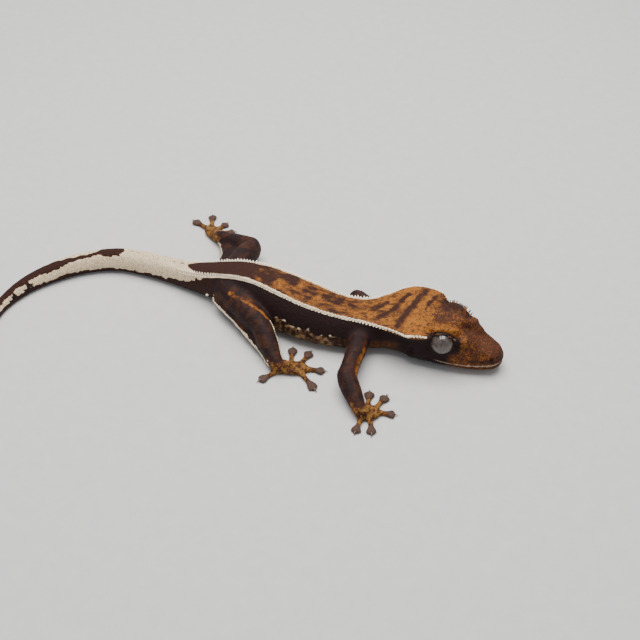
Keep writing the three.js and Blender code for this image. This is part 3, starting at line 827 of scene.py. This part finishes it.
def refine(bm):
    """Splits the faces of the face and the feet in four, where the finest forms are."""
    places = coordinates(bm)
    toe_gap, _ = toe_places(places)
    near = (places[:, 0] > 41.0) | ((toe_gap < 2.2) & (places[:, 2] < 3.4))
    chosen = [e for e in bm.edges if near[e.verts[0].index] and near[e.verts[1].index]]
    bmesh.ops.subdivide_edges(bm, edges=chosen, cuts=1, use_grid_fill=True)


def limb_roots(bm):
    """The skin where a limb leaves the body."""
    places = coordinates(bm)
    s = Surface(places)
    root = (s.spread > 0.86) & (s.spread < 1.42) & (s.limb_gap < 1.5) & (s.limb_share < 0.6)
    return [v for v, wanted in zip(bm.verts, root) if wanted]


def crown(bm):
    """The skin from the crown over the brows to the snout, where the forms run into one another."""
    places = coordinates(bm)
    wanted = (places[:, 0] > 38) & (places[:, 0] < 57) & (places[:, 2] > 8.6)
    wanted &= np.abs(places[:, 1] - HEAD_MIDDLE) < 8.2
    return [v for v, chosen in zip(bm.verts, wanted) if chosen]


def opened_eyes(places):
    """Places of the skin, moved so that lids close round each eye and leave it open."""
    distance, aside, before = eye_gap(places)
    in_front = step_between(-0.5, 0.6, before) * step_between(7.5, 6.5, distance)
    side = np.sign(places[:, 1] - HEAD_MIDDLE)
    centres = np.tile(np.array(EYE_CENTRE), (len(places), 1))
    centres[:, 1] = HEAD_MIDDLE + side * EYE_CENTRE[1]
    hole = step_between(EYE_OPENING + 0.12, EYE_OPENING - 0.12, aside) * in_front
    lid = np.exp(-((aside - EYE_OPENING - 0.5) / 0.42) ** 2) * in_front
    beyond = step_between(EYE_OPENING + 0.5, EYE_OPENING + 1.9, aside)
    reach = np.minimum(distance, EYE_RADIUS + 0.42 + 4.0 * beyond)
    reach = np.maximum(reach, lid * (EYE_RADIUS + 0.36))
    wanted = np.where(in_front > 0.02, distance + in_front * (reach - distance), distance)
    wanted = wanted + hole * (np.minimum(wanted, EYE_RADIUS - 0.4) - wanted)
    return centres + (places - centres) * (wanted / distance)[:, None]


def shape_head(bm):
    """Sinks the mouth, nostrils, ears and eyes into the skin and raises the lips, lids and folds."""
    bm.normal_update()
    places = coordinates(bm)
    normals = np.array([v.normal for v in bm.verts])
    lift = np.zeros(len(places))
    x = places[:, 0]

    gap = places[:, 2] - lip_line(x)
    mouth = step_between(MOUTH_CORNER - 0.6, MOUTH_CORNER + 1.2, x)
    lift += mouth * (0.26 * np.exp(-((gap - 0.75) / 0.45) ** 2) - 0.42 * np.exp(-(gap / 0.24) ** 2))
    lift += mouth * 0.12 * np.exp(-((gap + 0.7) / 0.4) ** 2)

    for side in (1, -1):
        for spot, depth, spread in HOLLOWS:
            offset = places - side_place(spot, side)
            reach = np.sqrt(((offset / spread) ** 2).sum(1))
            lift -= depth * np.exp(-reach ** 2)
            lift += 0.3 * depth * np.exp(-((reach - 1.9) / 0.5) ** 2)

    s = Surface(places)
    crumple = mottle(np.stack([s.along, s.out, places[:, 2]], 1), (0.9, 2.6, 2.6), 7, detail=2)
    body_fold = step_between(0.9, 0.6, s.rise) * step_between(24.0, 20.0, s.station)
    lift += 0.10 * crumple * body_fold
    lift += 0.05 * mottle(places, 0.8, 8, detail=2)
    hollow = np.exp(-(s.out / 2.2) ** 2) * step_between(46.0, 49.0, x) * step_between(57.5, 54.0, x)
    lift -= 0.35 * hollow * step_between(0.8, 1.0, s.rise)
    places = opened_eyes(places + normals * lift[:, None])
    places[:, 2] = np.maximum(places[:, 2], 0)
    for vertex, place in zip(bm.verts, places):
        vertex.co = place


def set_values(mesh, values):
    """Writes named numbers on a mesh's points."""
    for name, numbers in values.items():
        layer = mesh.attributes.new(name, "FLOAT", "POINT")
        layer.data.foreach_set("value", np.asarray(numbers, np.float32))


def finished(bm, name, material, values=None):
    """Brings a bmesh in millimetres to an object in metres, with named numbers on its points."""
    bmesh.ops.scale(bm, vec=(MM, MM, MM), verts=bm.verts)
    mesh = bpy.data.meshes.new(name)
    bm.to_mesh(mesh)
    bm.free()
    mesh.polygons.foreach_set("use_smooth", [True] * len(mesh.polygons))
    set_values(mesh, values or {})
    mesh.materials.append(material)
    obj = bpy.data.objects.new(name, mesh)
    bpy.context.scene.collection.objects.link(obj)
    return obj


# Raised scales

def unwrapped(surface):
    """Each place on an unwrap of the skin: the body lengthways below, the limbs above."""
    s = surface
    down = 0.5 * np.clip(np.abs(s.out) / s.crest, 0, 1) + np.clip(1 - s.rise, 0, 1)
    around = 0.30 + 0.25 * np.sign(s.out) * down
    body = np.stack([0.02 + 0.96 * s.along / ALONG[-1], around], 1)
    turned = np.stack([0.02 + 0.96 * (s.places[:, 0] + 90) / 160, 0.80 + 0.18 * s.places[:, 1] / 40], 1)
    return np.where((s.limb > 0.5)[:, None], turned, body)


class Scales:
    """Many small scales joined in one mesh, each with its own patch on the unwrap of the skin."""

    def __init__(self):
        self.pile = Pile()

    def add(self, place, way, along, radii, height, root, warm, sides=8):
        """One scale: the way it points, the way of its length, its half sizes and its place on the unwrap."""
        bm = bmesh.new()
        bake_map = bm.loops.layers.uv.new("OFBake")
        tips = bm.verts.layers.float.new("tip")
        warmth = bm.verts.layers.float.new("warm")
        made = bmesh.ops.create_uvsphere(bm, u_segments=sides, v_segments=5, radius=1)["verts"]
        up = Vector(way).normalized()
        side = up.cross(Vector(along)).normalized()
        length = side.cross(up)
        turn = Matrix((length, side, up)).transposed()
        for vertex in made:
            level = vertex.co.z
            vertex[tips] = (level + 1) / 2
            vertex[warmth] = warm
            narrow = 1 - 0.45 * max(level, 0)
            flat = Vector((vertex.co.x * narrow, vertex.co.y * narrow))
            for face in vertex.link_faces:
                for loop in face.loops:
                    if loop.vert is vertex:
                        spread = PATCH * (1 - 0.5 * (level + 1) / 2)
                        loop[bake_map].uv = (root[0] + spread * vertex.co.x, root[1] + spread * vertex.co.y)
            tall = height if level > 0 else min(height, 0.4)
            vertex.co = turn @ Vector((flat.x * radii[0], flat.y * radii[1], level * tall)) + Vector(place)
        self.pile.take(bm)

    def object(self, name, material):
        """The finished mesh."""
        return finished(self.pile.whole(), name, material)


def on_skin(skin, place, way):
    """The place on the skin nearest to a place, a little below the surface."""
    nearest = skin.closest_point_on_mesh(Vector(place) * MM)[1] / MM
    return np.array(nearest - Vector(way).normalized() * 0.1)


def crest_rows():
    """Places of the raised scales on both crest lines: station, side, row, size and shift of colour."""
    draw = np.random.default_rng(CREST_SEED)
    rows = []
    first = float(np.interp(CREST_STATIONS[0], SAMPLES, ALONG))
    last = float(np.interp(CREST_STATIONS[1], SAMPLES, ALONG))
    for side in (1, -1):
        for row in range(3):
            at = first + row * CREST_PITCH / 2
            while at < last:
                station = float(np.interp(at, ALONG, SAMPLES))
                rows.append((station, side, row, draw.uniform(0.85, 1.15), draw.uniform(-1, 1)))
                at += CREST_PITCH * draw.uniform(0.88, 1.12)
    return rows


def crest_scales(material, skin):
    """Cream scales along both crest lines, the tallest on the line and smaller ones beside it."""
    scales = Scales()
    found = []
    for station, side, row, size, shift in crest_rows():
        middle, heading, left = frame_at(station)
        crest = float(column("crest", station))
        ridge = float(column("ridge", station))
        wide = float(np.interp(station, (5.6, 9.0, 13.0, 15.5, 17.4), (0.5, 0.8, 0.9, 1.2, 1.7)))
        aside = (0, 0.55, -0.5)[row] * wide
        drop = (0, -0.55, 0.12)[row] * wide
        plan = middle + left * side * (crest - 0.12 + aside * 0.55)
        place = np.array((*plan, ridge - 0.12 + drop * 0.75))
        outward = np.array((*(left * side), 0))
        lean = float(np.interp(station, (5.6, 7.5, 9.0, 12.0), (1.3, 1.5, 1.1, 0.7)))
        way = outward * (lean + (0, 0.6, -0.5)[row]) + (0, 0, 1) - 0.15 * np.array((*heading, 0))
        tall = float(np.interp(station, (5.6, 6.6, 9.0, 12.0, 16.0, 17.9), (0.5, 0.9, 1.05, 1.0, 0.9, 0.5)))
        tall *= (1, 0.62, 0.5)[row] * size
        place = on_skin(skin, place, way)
        if side > 0 and station < 8.8:
            tall *= 0.6
            shift = 2.4
        found.append((place, way, (*heading, 0), station, row, size, tall, shift))
    surface = Surface(np.array([item[0] for item in found]))
    roots = unwrapped(surface)
    for (place, way, along, station, row, size, tall, shift), root in zip(found, roots):
        if row == 2 and station < 9.5:
            continue
        warm = float(np.interp(station, (5.6, 7.0, 9.5, 12.0), (0.75, 0.55, 0.35, 0.1)))
        warm *= 0.6 + 0.4 * shift
        half = 0.40 * size * (1, 0.8, 0.7)[row]
        scales.add(place, way, along, (half, half * 0.9), tall, root, max(warm, 0))
    return scales.object("crest_scales", material)


def brow_lashes(material, skin):
    """The row of fine spines over each eye."""
    draw = np.random.default_rng(LASH_SEED)
    scales = Scales()
    found = []
    (x, out, z), (long, wide, high) = BROWS[0]
    for side in (1, -1):
        for i in range(LASHES):
            share = i / (LASHES - 1)
            turn = math.pi * (0.06 + 0.80 * share)
            ahead = long * math.cos(turn) * LASH_REACH
            aside = out + wide * math.sin(turn) * LASH_REACH
            place = (x + ahead, HEAD_MIDDLE + side * aside, z + high * LASH_HEIGHT)
            way = (0.55 - 0.8 * share + draw.uniform(-0.1, 0.1), side, 0.62 + draw.uniform(-0.12, 0.12))
            found.append((on_skin(skin, place, way), way, draw.uniform(0.95, 1.3)))
    roots = unwrapped(Surface(np.array([item[0] for item in found])))
    for (place, way, tall), root in zip(found, roots):
        scales.add(place, way, (1, 0, 0), (0.26, 0.26), tall, root, 1, sides=6)
    return scales.object("brow_lashes", material)


def leg_fringe(material, skin):
    """Small pale scales on the folds behind the hind legs and down the near shin, and the spur at the hip."""
    draw = np.random.default_rng(FRINGE_SEED)
    scales = Scales()
    found = []
    lines = [(fold_edge(limb)[7:], FOLD_PITCH) for limb in LIMBS.values() if limb["edge"]]
    lines.append((np.array(shin_line()), SHIN_PITCH))
    for line, pitch in lines:
        lengths = np.concatenate([[0], np.cumsum(np.linalg.norm(np.diff(line, axis=0), axis=1))])
        at = 0.2
        while at < lengths[-1]:
            place = np.array([np.interp(at, lengths, line[:, k]) for k in range(3)])
            ahead = np.array([np.interp(at + 0.4, lengths, line[:, k]) for k in range(3)]) - place
            found.append((on_skin(skin, place, (0, 0, 1)), ahead, draw.uniform(0.7, 1.2)))
            at += pitch * draw.uniform(0.8, 1.3)
    found.append((np.array(SPUR), np.array((1.0, 0, 0)), SPUR_SIZE))
    roots = unwrapped(Surface(np.array([item[0] for item in found])))
    for (place, ahead, size), root in zip(found, roots):
        out = np.cross(ahead, (0, 0, 1))
        out = out / (np.linalg.norm(out) + 1e-9)
        way = 0.7 * out + np.array((0, 0, 1.0))
        scales.add(place, way, ahead, (0.30 * size, 0.24 * size), 0.42 * size, root, 0.12, sides=6)
    return scales.object("leg_fringe", material)


# Claws and eyes

def claws(material):
    """A hooked claw at the end of each toe."""
    pile = Pile()
    turn = 2 * np.pi * np.arange(CLAW_POINTS) / CLAW_POINTS
    for limb in LIMBS.values():
        for share, x, y in limb["toes"]:
            start = between(limb["end"][:2], limb["ball"], share)
            way = np.array((x, y)) - start
            way = way / np.linalg.norm(way)
            across = np.array((-way[1], way[0], 0))
            circle = np.outer(np.cos(turn), across) + np.outer(np.sin(turn), (0, 0, 1))
            places = []
            for k in range(CLAW_RINGS):
                far = k / (CLAW_RINGS - 1)
                plan = np.array((x, y)) + way * (CLAW_LENGTH * far - 0.8)
                middle = np.array((*plan, 0.66 + 0.28 * far - 0.72 * far ** 2))
                radius = CLAW_RADIUS * (1 - far) ** 0.8 + 0.02
                places.append(middle + radius * circle)
            shell(pile, places)
    return finished(pile.whole(), "claws", material)


def eyeball(side, material):
    """An eye, with its own places across and up as seen along its line of sight."""
    bm = bmesh.new()
    made = bmesh.ops.create_uvsphere(bm, u_segments=72, v_segments=48, radius=1)["verts"]
    across = [v.co.x * -side for v in made]
    up = [v.co.y for v in made]
    facing = Vector((EYE_FACING[0], side * EYE_FACING[1], EYE_FACING[2])).normalized()
    level = Vector((0, 0, 1)).cross(facing).normalized()
    turn = Matrix((level, facing.cross(level), facing)).transposed().to_4x4()
    for vertex in made:
        bulge = max(vertex.co.z, 0)
        vertex.co.z += 0.05 * bulge ** 3
    bmesh.ops.scale(bm, vec=(EYE_RADIUS,) * 3, verts=made)
    bmesh.ops.rotate(bm, matrix=turn.to_3x3(), verts=made)
    centre = (EYE_CENTRE[0], HEAD_MIDDLE + side * EYE_CENTRE[1], EYE_CENTRE[2])
    bmesh.ops.translate(bm, vec=centre, verts=made)
    name = "eye_ball_left" if side > 0 else "eye_ball_right"
    return finished(bm, name, material, {"across": across, "up": up})


# Materials

class Shader:
    """A material made of nodes, built up by short calls."""

    def __init__(self, name):
        self.material = bpy.data.materials.new(name)
        self.material.use_nodes = True
        self.tree = self.material.node_tree
        self.tree.nodes.clear()

    def node(self, kind, inputs=None, **settings):
        """A node with its settings, and inputs that are numbers, colours or other nodes' outputs."""
        made = self.tree.nodes.new(kind)
        for key, value in settings.items():
            setattr(made, key, value)
        for key, value in (inputs or {}).items():
            self.put(made.inputs[key], value)
        return made

    def put(self, socket, value):
        """Links another node's output to a socket, or sets a number or colour on it."""
        if isinstance(value, bpy.types.NodeSocket):
            self.tree.links.new(value, socket)
        else:
            socket.default_value = value

    def attribute(self, name):
        """Numbers by name from the mesh's points."""
        return self.node("ShaderNodeAttribute", attribute_name=name).outputs["Fac"]

    def place(self):
        """Places in the object's own space."""
        return self.node("ShaderNodeTexCoord").outputs["Object"]

    def math(self, operation, a, b=0.0):
        """One step of arithmetic."""
        return self.node("ShaderNodeMath", {0: a, 1: b}, operation=operation).outputs[0]

    def mix(self, factor, a, b):
        """A colour between a and b."""
        return self.node("ShaderNodeMix", {0: factor, 6: a, 7: b}, data_type="RGBA").outputs[2]

    def ranged(self, value, low, high, at_low=0.0, at_high=1.0, **settings):
        """A number brought from one range to another."""
        inputs = {"Value": value, "From Min": low, "From Max": high, "To Min": at_low, "To Max": at_high}
        return self.node("ShaderNodeMapRange", inputs, **settings).outputs[0]

    def clouds(self, vector, size, detail=3.0, roughness=0.6):
        """Soft noise with clouds of about a size."""
        inputs = {"Vector": vector, "Scale": 1 / size, "Detail": detail, "Roughness": roughness}
        return self.node("ShaderNodeTexNoise", inputs).outputs["Fac"]

    def grains(self, vector, size):
        """Small grains, each 0 at its middle."""
        return self.node("ShaderNodeTexVoronoi", {"Vector": vector, "Scale": 1 / size}).outputs[0]

    def ragged(self, mask, clouds, amount, low=0.35, high=0.65):
        """A mask with a crisp, ragged edge."""
        shifted = self.math("ADD", mask, self.math("MULTIPLY", self.math("SUBTRACT", clouds, 0.5), amount))
        return self.ranged(shifted, low, high, interpolation_type="SMOOTHSTEP")

    def stretched(self, across, up, across_scale, up_scale):
        """A place made of two numbers, each scaled by its own share."""
        inputs = {0: self.math("MULTIPLY", across, across_scale), 1: self.math("MULTIPLY", up, up_scale)}
        return self.node("ShaderNodeCombineXYZ", inputs).outputs[0]

    def bump(self, height, distance, strength, normal=None):
        """A bumpy normal, over another where one is given."""
        inputs = {"Height": height, "Distance": distance, "Strength": strength}
        if normal is not None:
            inputs["Normal"] = normal
        return self.node("ShaderNodeBump", inputs).outputs[0]

    def surface(self, **inputs):
        """Ends the material in one surface, whose inputs are given by name, and returns it."""
        shader = self.node("ShaderNodeBsdfPrincipled")
        for key, value in inputs.items():
            name = key.replace("_", " ").title().replace("Ior", "IOR")
            self.put(shader.inputs[name], value)
        self.node("ShaderNodeOutputMaterial", {"Surface": shader.outputs[0]})
        return self.material


def rgba(colour):
    """A colour with full alpha, as sockets take it."""
    return (*colour, 1.0)


def skin_material(look):
    """Granular skin whose markings follow the numbers on its points."""
    s = Shader("gecko_skin")
    place = s.place()
    cloud = s.clouds(place, 1.1 * MM)
    small = s.clouds(place, 0.42 * MM, 2.0)
    grain = s.grains(place, 0.42 * MM)
    both = s.math("ADD", s.math("MULTIPLY", small, 0.55), s.math("MULTIPLY", cloud, 0.45))
    colour = s.mix(s.ragged(small, cloud, 0.4, 0.35, 0.75), rgba(look.brown), rgba(look.russet))

    # Colours over the brown, from the lowest up: the clouds that roughen each one's edge, by how much, and
    # between which values the edge lies
    layers = (
        ("amber", both, 2.6, 0.1, 0.85),
        ("tan", both, 2.4, 0.25, 0.75),
        # the violet layer also lays the painted shade in the nostrils
        ("violet_and_nostril_shade", both, 1.1, 0.15, 0.85),
        ("dark", both, 2.6, 0.15, 0.9),
        ("gold", both, 2.2, 0.2, 0.8),
        ("pad", small, 0.3, 0.35, 0.65),
        ("lip", small, 0.5, 0.3, 0.9),
    )
    for name, clouds, amount, low, high in layers:
        mask = s.ragged(s.attribute(name), clouds, amount, low, high)
        colour = s.mix(mask, colour, rgba(getattr(look, name)))
    cream = s.mix(s.ragged(small, cloud, 0.3, 0.3, 0.62), rgba(look.cream_shade), rgba(look.cream))
    colour = s.mix(s.ragged(s.attribute("cream"), small, 0.4, 0.35, 0.6), colour, cream)
    # Partly painted shade: each grain is lighter at its raised middle and darker towards its sunken edges,
    # where the grains meet, which also speckles the skin's tone
    shade = s.ranged(grain, 0.0, 0.8, 1.12, 0.72)
    colour = s.node("ShaderNodeHueSaturation", {"Value": shade, "Color": colour}).outputs[0]

    # Grains all over, and rings of scales round the tail
    rings = s.math("SINE", s.math("MULTIPLY", s.attribute("whorl"), 2 * math.pi / 0.55))
    ringed = s.math("MULTIPLY", rings, s.attribute("tail"))
    height = s.math("SUBTRACT", s.math("MULTIPLY", ringed, 0.45), grain)
    normal = s.bump(height, 0.10 * MM, 0.9)
    normal = s.bump(cloud, 0.20 * MM, 0.5, normal)
    rough = s.ranged(small, 0.0, 1.0, 0.52, 0.78)
    return s.surface(base_color=colour, roughness=rough, normal=normal, specular_ior_level=0.14)


def scale_material(name, look, tip):
    """Raised scales, darker at the root than at the tip."""
    s = Shader(name)
    place = s.place()
    small = s.clouds(place, 0.35 * MM, 2.0)
    height = s.ragged(s.attribute("tip"), small, 0.35, 0.38, 0.72)
    pale = s.mix(height, rgba(look.root), rgba(tip))
    warm = s.mix(height, rgba(look.amber), rgba(tip))
    colour = s.mix(s.attribute("warm"), pale, warm)
    normal = s.bump(small, 0.05 * MM, 0.5)
    return s.surface(base_color=colour, roughness=0.5, normal=normal, specular_ior_level=0.45)


def eye_material(look):
    """A grey-brown iris with fine upright streaks and a narrow slit, under a clear, wet coat."""
    s = Shader("gecko_eye")
    across = s.attribute("across")
    up = s.attribute("up")
    streaks = s.clouds(s.stretched(across, up, 15.0, 2.6), 1.0, 4.0, 0.7)
    flecks = s.clouds(s.stretched(across, up, 34.0, 9.0), 1.0, 2.0, 0.6)
    colour = s.mix(s.ragged(streaks, flecks, 0.5, 0.32, 0.68), rgba(look.iris_dark), rgba(look.iris))
    radius = s.math("SQRT", s.math("ADD", s.math("MULTIPLY", across, across), s.math("MULTIPLY", up, up)))
    colour = s.mix(s.ranged(radius, 0.72, 0.92), colour, rgba(look.rim))
    taper = s.math("MULTIPLY", s.math("SUBTRACT", 0.62, s.math("ABSOLUTE", up)), 0.055)
    wavy = s.math("ADD", taper, s.math("MULTIPLY", s.math("SUBTRACT", flecks, 0.5), 0.05))
    inside = s.math("SUBTRACT", wavy, s.math("ABSOLUTE", across))
    colour = s.mix(s.ranged(inside, -0.008, 0.012), colour, rgba(look.pupil))
    normal = s.bump(streaks, 0.05 * MM, 0.3)
    return s.surface(base_color=colour, roughness=0.35, normal=normal, coat_weight=0.7, coat_roughness=0.06)


def claw_material(look):
    """Dark horn with paler streaks."""
    s = Shader("gecko_claw")
    cloud = s.clouds(s.place(), 0.5 * MM)
    colour = s.mix(s.ragged(cloud, cloud, 0.2), rgba(look.horn), rgba(look.horn_pale))
    return s.surface(base_color=colour, roughness=0.32, normal=s.bump(cloud, 0.03 * MM, 0.4))


def floor_material(look):
    """A plain, pale, matt floor."""
    s = Shader("studio_floor")
    cloud = s.clouds(s.place(), 4 * MM, 4.0)
    colour = s.mix(s.ragged(cloud, cloud, 0.2, 0.2, 0.9), rgba(look.floor_shade), rgba(look.floor))
    return s.surface(base_color=colour, roughness=0.75, normal=s.bump(cloud, 0.05 * MM, 0.2))


# Settings

def colour_setting(name, description, default):
    """A colour that the panel shows as a swatch."""
    return bpy.props.FloatVectorProperty(
        name=name, description=description, default=default, subtype="COLOR", size=3, min=0, max=1)


class GeckoSkinSettings(bpy.types.PropertyGroup):
    """Fineness and colours of the skin."""

    voxel: bpy.props.FloatProperty(
        name="Skin grain", description="Size of the skin's faces, in millimetres",
        default=0.46, min=0.3, max=1)
    brown: colour_setting("Brown", "Ground of the limbs and snout", (0.048, 0.017, 0.009))
    russet: colour_setting("Russet", "Mottling on the brown", (0.150, 0.043, 0.013))
    amber: colour_setting("Amber", "Crown and back", (0.37, 0.130, 0.017))
    # the violet brown is also the colour of the painted shade in the nostrils
    violet_and_nostril_shade: colour_setting("Violet brown", "Upper flanks and cheeks", (0.019, 0.0082, 0.0080))
    dark: colour_setting("Dark", "Bars and blotches", (0.034, 0.0105, 0.0064))
    tan: colour_setting("Tan", "Grainy patch low on the flank", (0.34, 0.20, 0.095))
    gold: colour_setting("Gold", "Palms and toes", (0.27, 0.130, 0.028))
    pad: colour_setting("Pad", "Toe pads", (0.085, 0.048, 0.036))
    lip: colour_setting("Lip", "Edge of the upper lip", (0.46, 0.35, 0.25))
    cream: colour_setting("Cream", "Crest lines and tail", (0.90, 0.74, 0.52))
    cream_shade: colour_setting("Shaded cream", "Between the cream scales", (0.62, 0.43, 0.24))


class GeckoScaleSettings(bpy.types.PropertyGroup):
    """Colours of the raised scales, lashes and claws."""

    cream: colour_setting("Cream", "Tips of the crest scales", (0.95, 0.84, 0.66))
    root: colour_setting("Root", "Roots of the crest scales", (0.42, 0.29, 0.16))
    amber: colour_setting("Amber", "Roots of the scales on the head", (0.42, 0.17, 0.035))
    lash_tip: colour_setting("Lash tip", "Tips of the lashes", (0.05, 0.022, 0.014))
    horn: colour_setting("Horn", "Claws", (0.06, 0.04, 0.03))
    horn_pale: colour_setting("Pale horn", "Lighter streaks of the claws", (0.16, 0.11, 0.07))


class GeckoEyeSettings(bpy.types.PropertyGroup):
    """Colours of the eyes."""

    iris: colour_setting("Iris", "Light of the iris", (0.098, 0.070, 0.058))
    iris_dark: colour_setting("Iris streaks", "Dark of the iris", (0.026, 0.017, 0.014))
    rim: colour_setting("Rim", "Edge of the eye", (0.022, 0.015, 0.012))
    pupil: colour_setting("Pupil", "Slit of the eye", (0.014, 0.010, 0.009))


class GeckoStageSettings(bpy.types.PropertyGroup):
    """Camera, lights and floor."""

    azimuth: bpy.props.FloatProperty(
        name="Azimuth", description="Turn of the camera from the model's right side",
        default=math.radians(24), subtype="ANGLE")
    elevation: bpy.props.FloatProperty(
        name="Elevation", description="Angle of the camera over the floor",
        default=math.radians(44), subtype="ANGLE")
    view_angle: bpy.props.FloatProperty(
        name="View angle", description="Angle that the picture takes in",
        default=math.radians(36), subtype="ANGLE")
    distance: bpy.props.FloatProperty(
        name="Distance", description="From the camera to what it looks at",
        default=0.300, subtype="DISTANCE", unit="LENGTH")
    target: bpy.props.FloatVectorProperty(
        name="Target", description="What the camera looks at",
        default=(0.005, 0.004, 0), subtype="TRANSLATION", unit="LENGTH", size=3)
    light: bpy.props.FloatProperty(
        name="Soft light", description="Power of the large light overhead",
        default=5.6, min=0, subtype="POWER", unit="POWER")
    sky: bpy.props.FloatProperty(
        name="Sky", description="Strength of the light from all round", default=0.55, min=0)
    floor: colour_setting("Floor", "Plain floor", (0.62, 0.61, 0.60))
    floor_shade: colour_setting("Floor shade", "Faint clouds in the floor", (0.58, 0.57, 0.56))


SETTINGS = {
    "gecko_skin": GeckoSkinSettings,
    "gecko_scales": GeckoScaleSettings,
    "gecko_eyes": GeckoEyeSettings,
    "gecko_stage": GeckoStageSettings,
}


# Operators

class GECKO_OT_skin(bpy.types.Operator):
    """Draws one skin over the body, limbs and feet"""

    bl_idname = "gecko.skin"
    bl_label = "Skin"

    def execute(self, context):
        look = context.scene.gecko_skin
        bm = drawn_over(rough_body(), look.voxel)
        relax(bm, SKIN_ROUNDS)
        relax(bm, ROOT_ROUNDS, limb_roots(bm))
        relax(bm, CROWN_ROUNDS, crown(bm))
        refine(bm)
        relax(bm, LAST_ROUNDS)
        shape_head(bm)
        relax(bm, 1, factor=0.25)
        surface = Surface(coordinates(bm))
        values = markings(surface)
        values["whorl"] = surface.along
        values["tail"] = step_between(16.5, 18.0, surface.station) * (1 - surface.limb)
        skin = finished(bm, "gecko_skin", skin_material(look), values)
        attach(skin, "root")
        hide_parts(*ALL_FLESH)
        return {"FINISHED"}


class GECKO_OT_scales(bpy.types.Operator):
    """Sets the raised scales of the crests and legs and the lashes over the eyes"""

    bl_idname = "gecko.scales"
    bl_label = "Raised scales"

    def execute(self, context):
        look = context.scene.gecko_scales
        cream = scale_material("cream_scales", look, look.cream)
        lash = scale_material("lash_scales", look, look.lash_tip)
        skin = bpy.data.objects["gecko_skin"]
        for piece in (crest_scales(cream, skin), brow_lashes(lash, skin), leg_fringe(cream, skin)):
            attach(piece, "root")
        return {"FINISHED"}


class GECKO_OT_eyes(bpy.types.Operator):
    """Sets both eyes in their sockets"""

    bl_idname = "gecko.eyes"
    bl_label = "Eyes"

    def execute(self, context):
        material = eye_material(context.scene.gecko_eyes)
        for side, node in ((1, "eye_left"), (-1, "eye_right")):
            eye = eyeball(side, material)
            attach(eye, "root")
            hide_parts(node)
        return {"FINISHED"}


class GECKO_OT_claws(bpy.types.Operator):
    """Sets a claw on each toe"""

    bl_idname = "gecko.claws"
    bl_label = "Claws"

    def execute(self, context):
        piece = claws(claw_material(context.scene.gecko_scales))
        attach(piece, "root")
        return {"FINISHED"}


class GECKO_OT_stage(bpy.types.Operator):
    """Lays the floor and sets the camera and lights"""

    bl_idname = "gecko.stage"
    bl_label = "Stage"

    def execute(self, context):
        look = context.scene.gecko_stage
        self.lay_floor(look)
        self.set_lights(context.scene, look)
        self.set_camera(context.scene, look)
        return {"FINISHED"}

    def lay_floor(self, look):
        """A floor that reaches past the picture's edges."""
        bm = bmesh.new()
        bmesh.ops.create_grid(bm, x_segments=8, y_segments=8, size=FLOOR_HALF)
        floor = finished(bm, "studio_floor", floor_material(look))

    def set_lights(self, scene, look):
        """A pale sky and one large lamp that points at the middle of the floor."""
        world = bpy.data.worlds.new("studio")
        world.use_nodes = True
        background = world.node_tree.nodes["Background"]
        background.inputs["Color"].default_value = rgba(SKY_COLOUR)
        background.inputs["Strength"].default_value = look.sky
        scene.world = world
        lamp = bpy.data.lights.new("overhead", "AREA")
        lamp.energy = look.light
        lamp.size = LAMP_SIZE
        lamp.color = LAMP_COLOUR
        light = bpy.data.objects.new("overhead", lamp)
        light.location = LAMP_PLACE
        light.rotation_euler = Vector(LAMP_PLACE).to_track_quat("Z", "Y").to_euler()
        scene.collection.objects.link(light)

    def set_camera(self, scene, look):
        """The camera, on a line from its target."""
        flat = math.cos(look.elevation)
        right = math.sin(look.azimuth) * flat
        back = Vector((right, -math.cos(look.azimuth) * flat, math.sin(look.elevation)))
        lens = bpy.data.cameras.new("camera")
        lens.sensor_width = 36
        lens.angle = look.view_angle
        lens.clip_start = 0.005
        camera = bpy.data.objects.new("camera", lens)
        camera.location = Vector(look.target) + back * look.distance
        camera.rotation_euler = back.to_track_quat("Z", "Y").to_euler()
        scene.collection.objects.link(camera)
        scene.camera = camera


OPERATORS = (GECKO_OT_stage, GECKO_OT_skin, GECKO_OT_scales, GECKO_OT_eyes, GECKO_OT_claws)


class GECKO_PT_panel(bpy.types.Panel):
    """The gecko's pieces and their settings"""

    bl_idname = "GECKO_PT_panel"
    bl_label = "Crested Gecko"
    bl_space_type = "VIEW_3D"
    bl_region_type = "UI"
    bl_category = "Gecko"

    def draw(self, context):
        for operator in OPERATORS:
            self.layout.operator(operator.bl_idname)
        for key, group in SETTINGS.items():
            box = self.layout.box()
            for name in group.__annotations__:
                box.prop(getattr(context.scene, key), name)


CLASSES = (*SETTINGS.values(), *OPERATORS, GECKO_PT_panel)


def register():
    for item in CLASSES:
        bpy.utils.register_class(item)
    for key, group in SETTINGS.items():
        setattr(bpy.types.Scene, key, bpy.props.PointerProperty(type=group))


def unregister():
    for key in SETTINGS:
        delattr(bpy.types.Scene, key)
    for item in reversed(CLASSES):
        bpy.utils.unregister_class(item)


def main():
    register()
    bpy.ops.gecko.stage()
    bpy.ops.gecko.skin()
    bpy.ops.gecko.scales()
    bpy.ops.gecko.eyes()
    bpy.ops.gecko.claws()


if __name__ == "__main__":
    main()
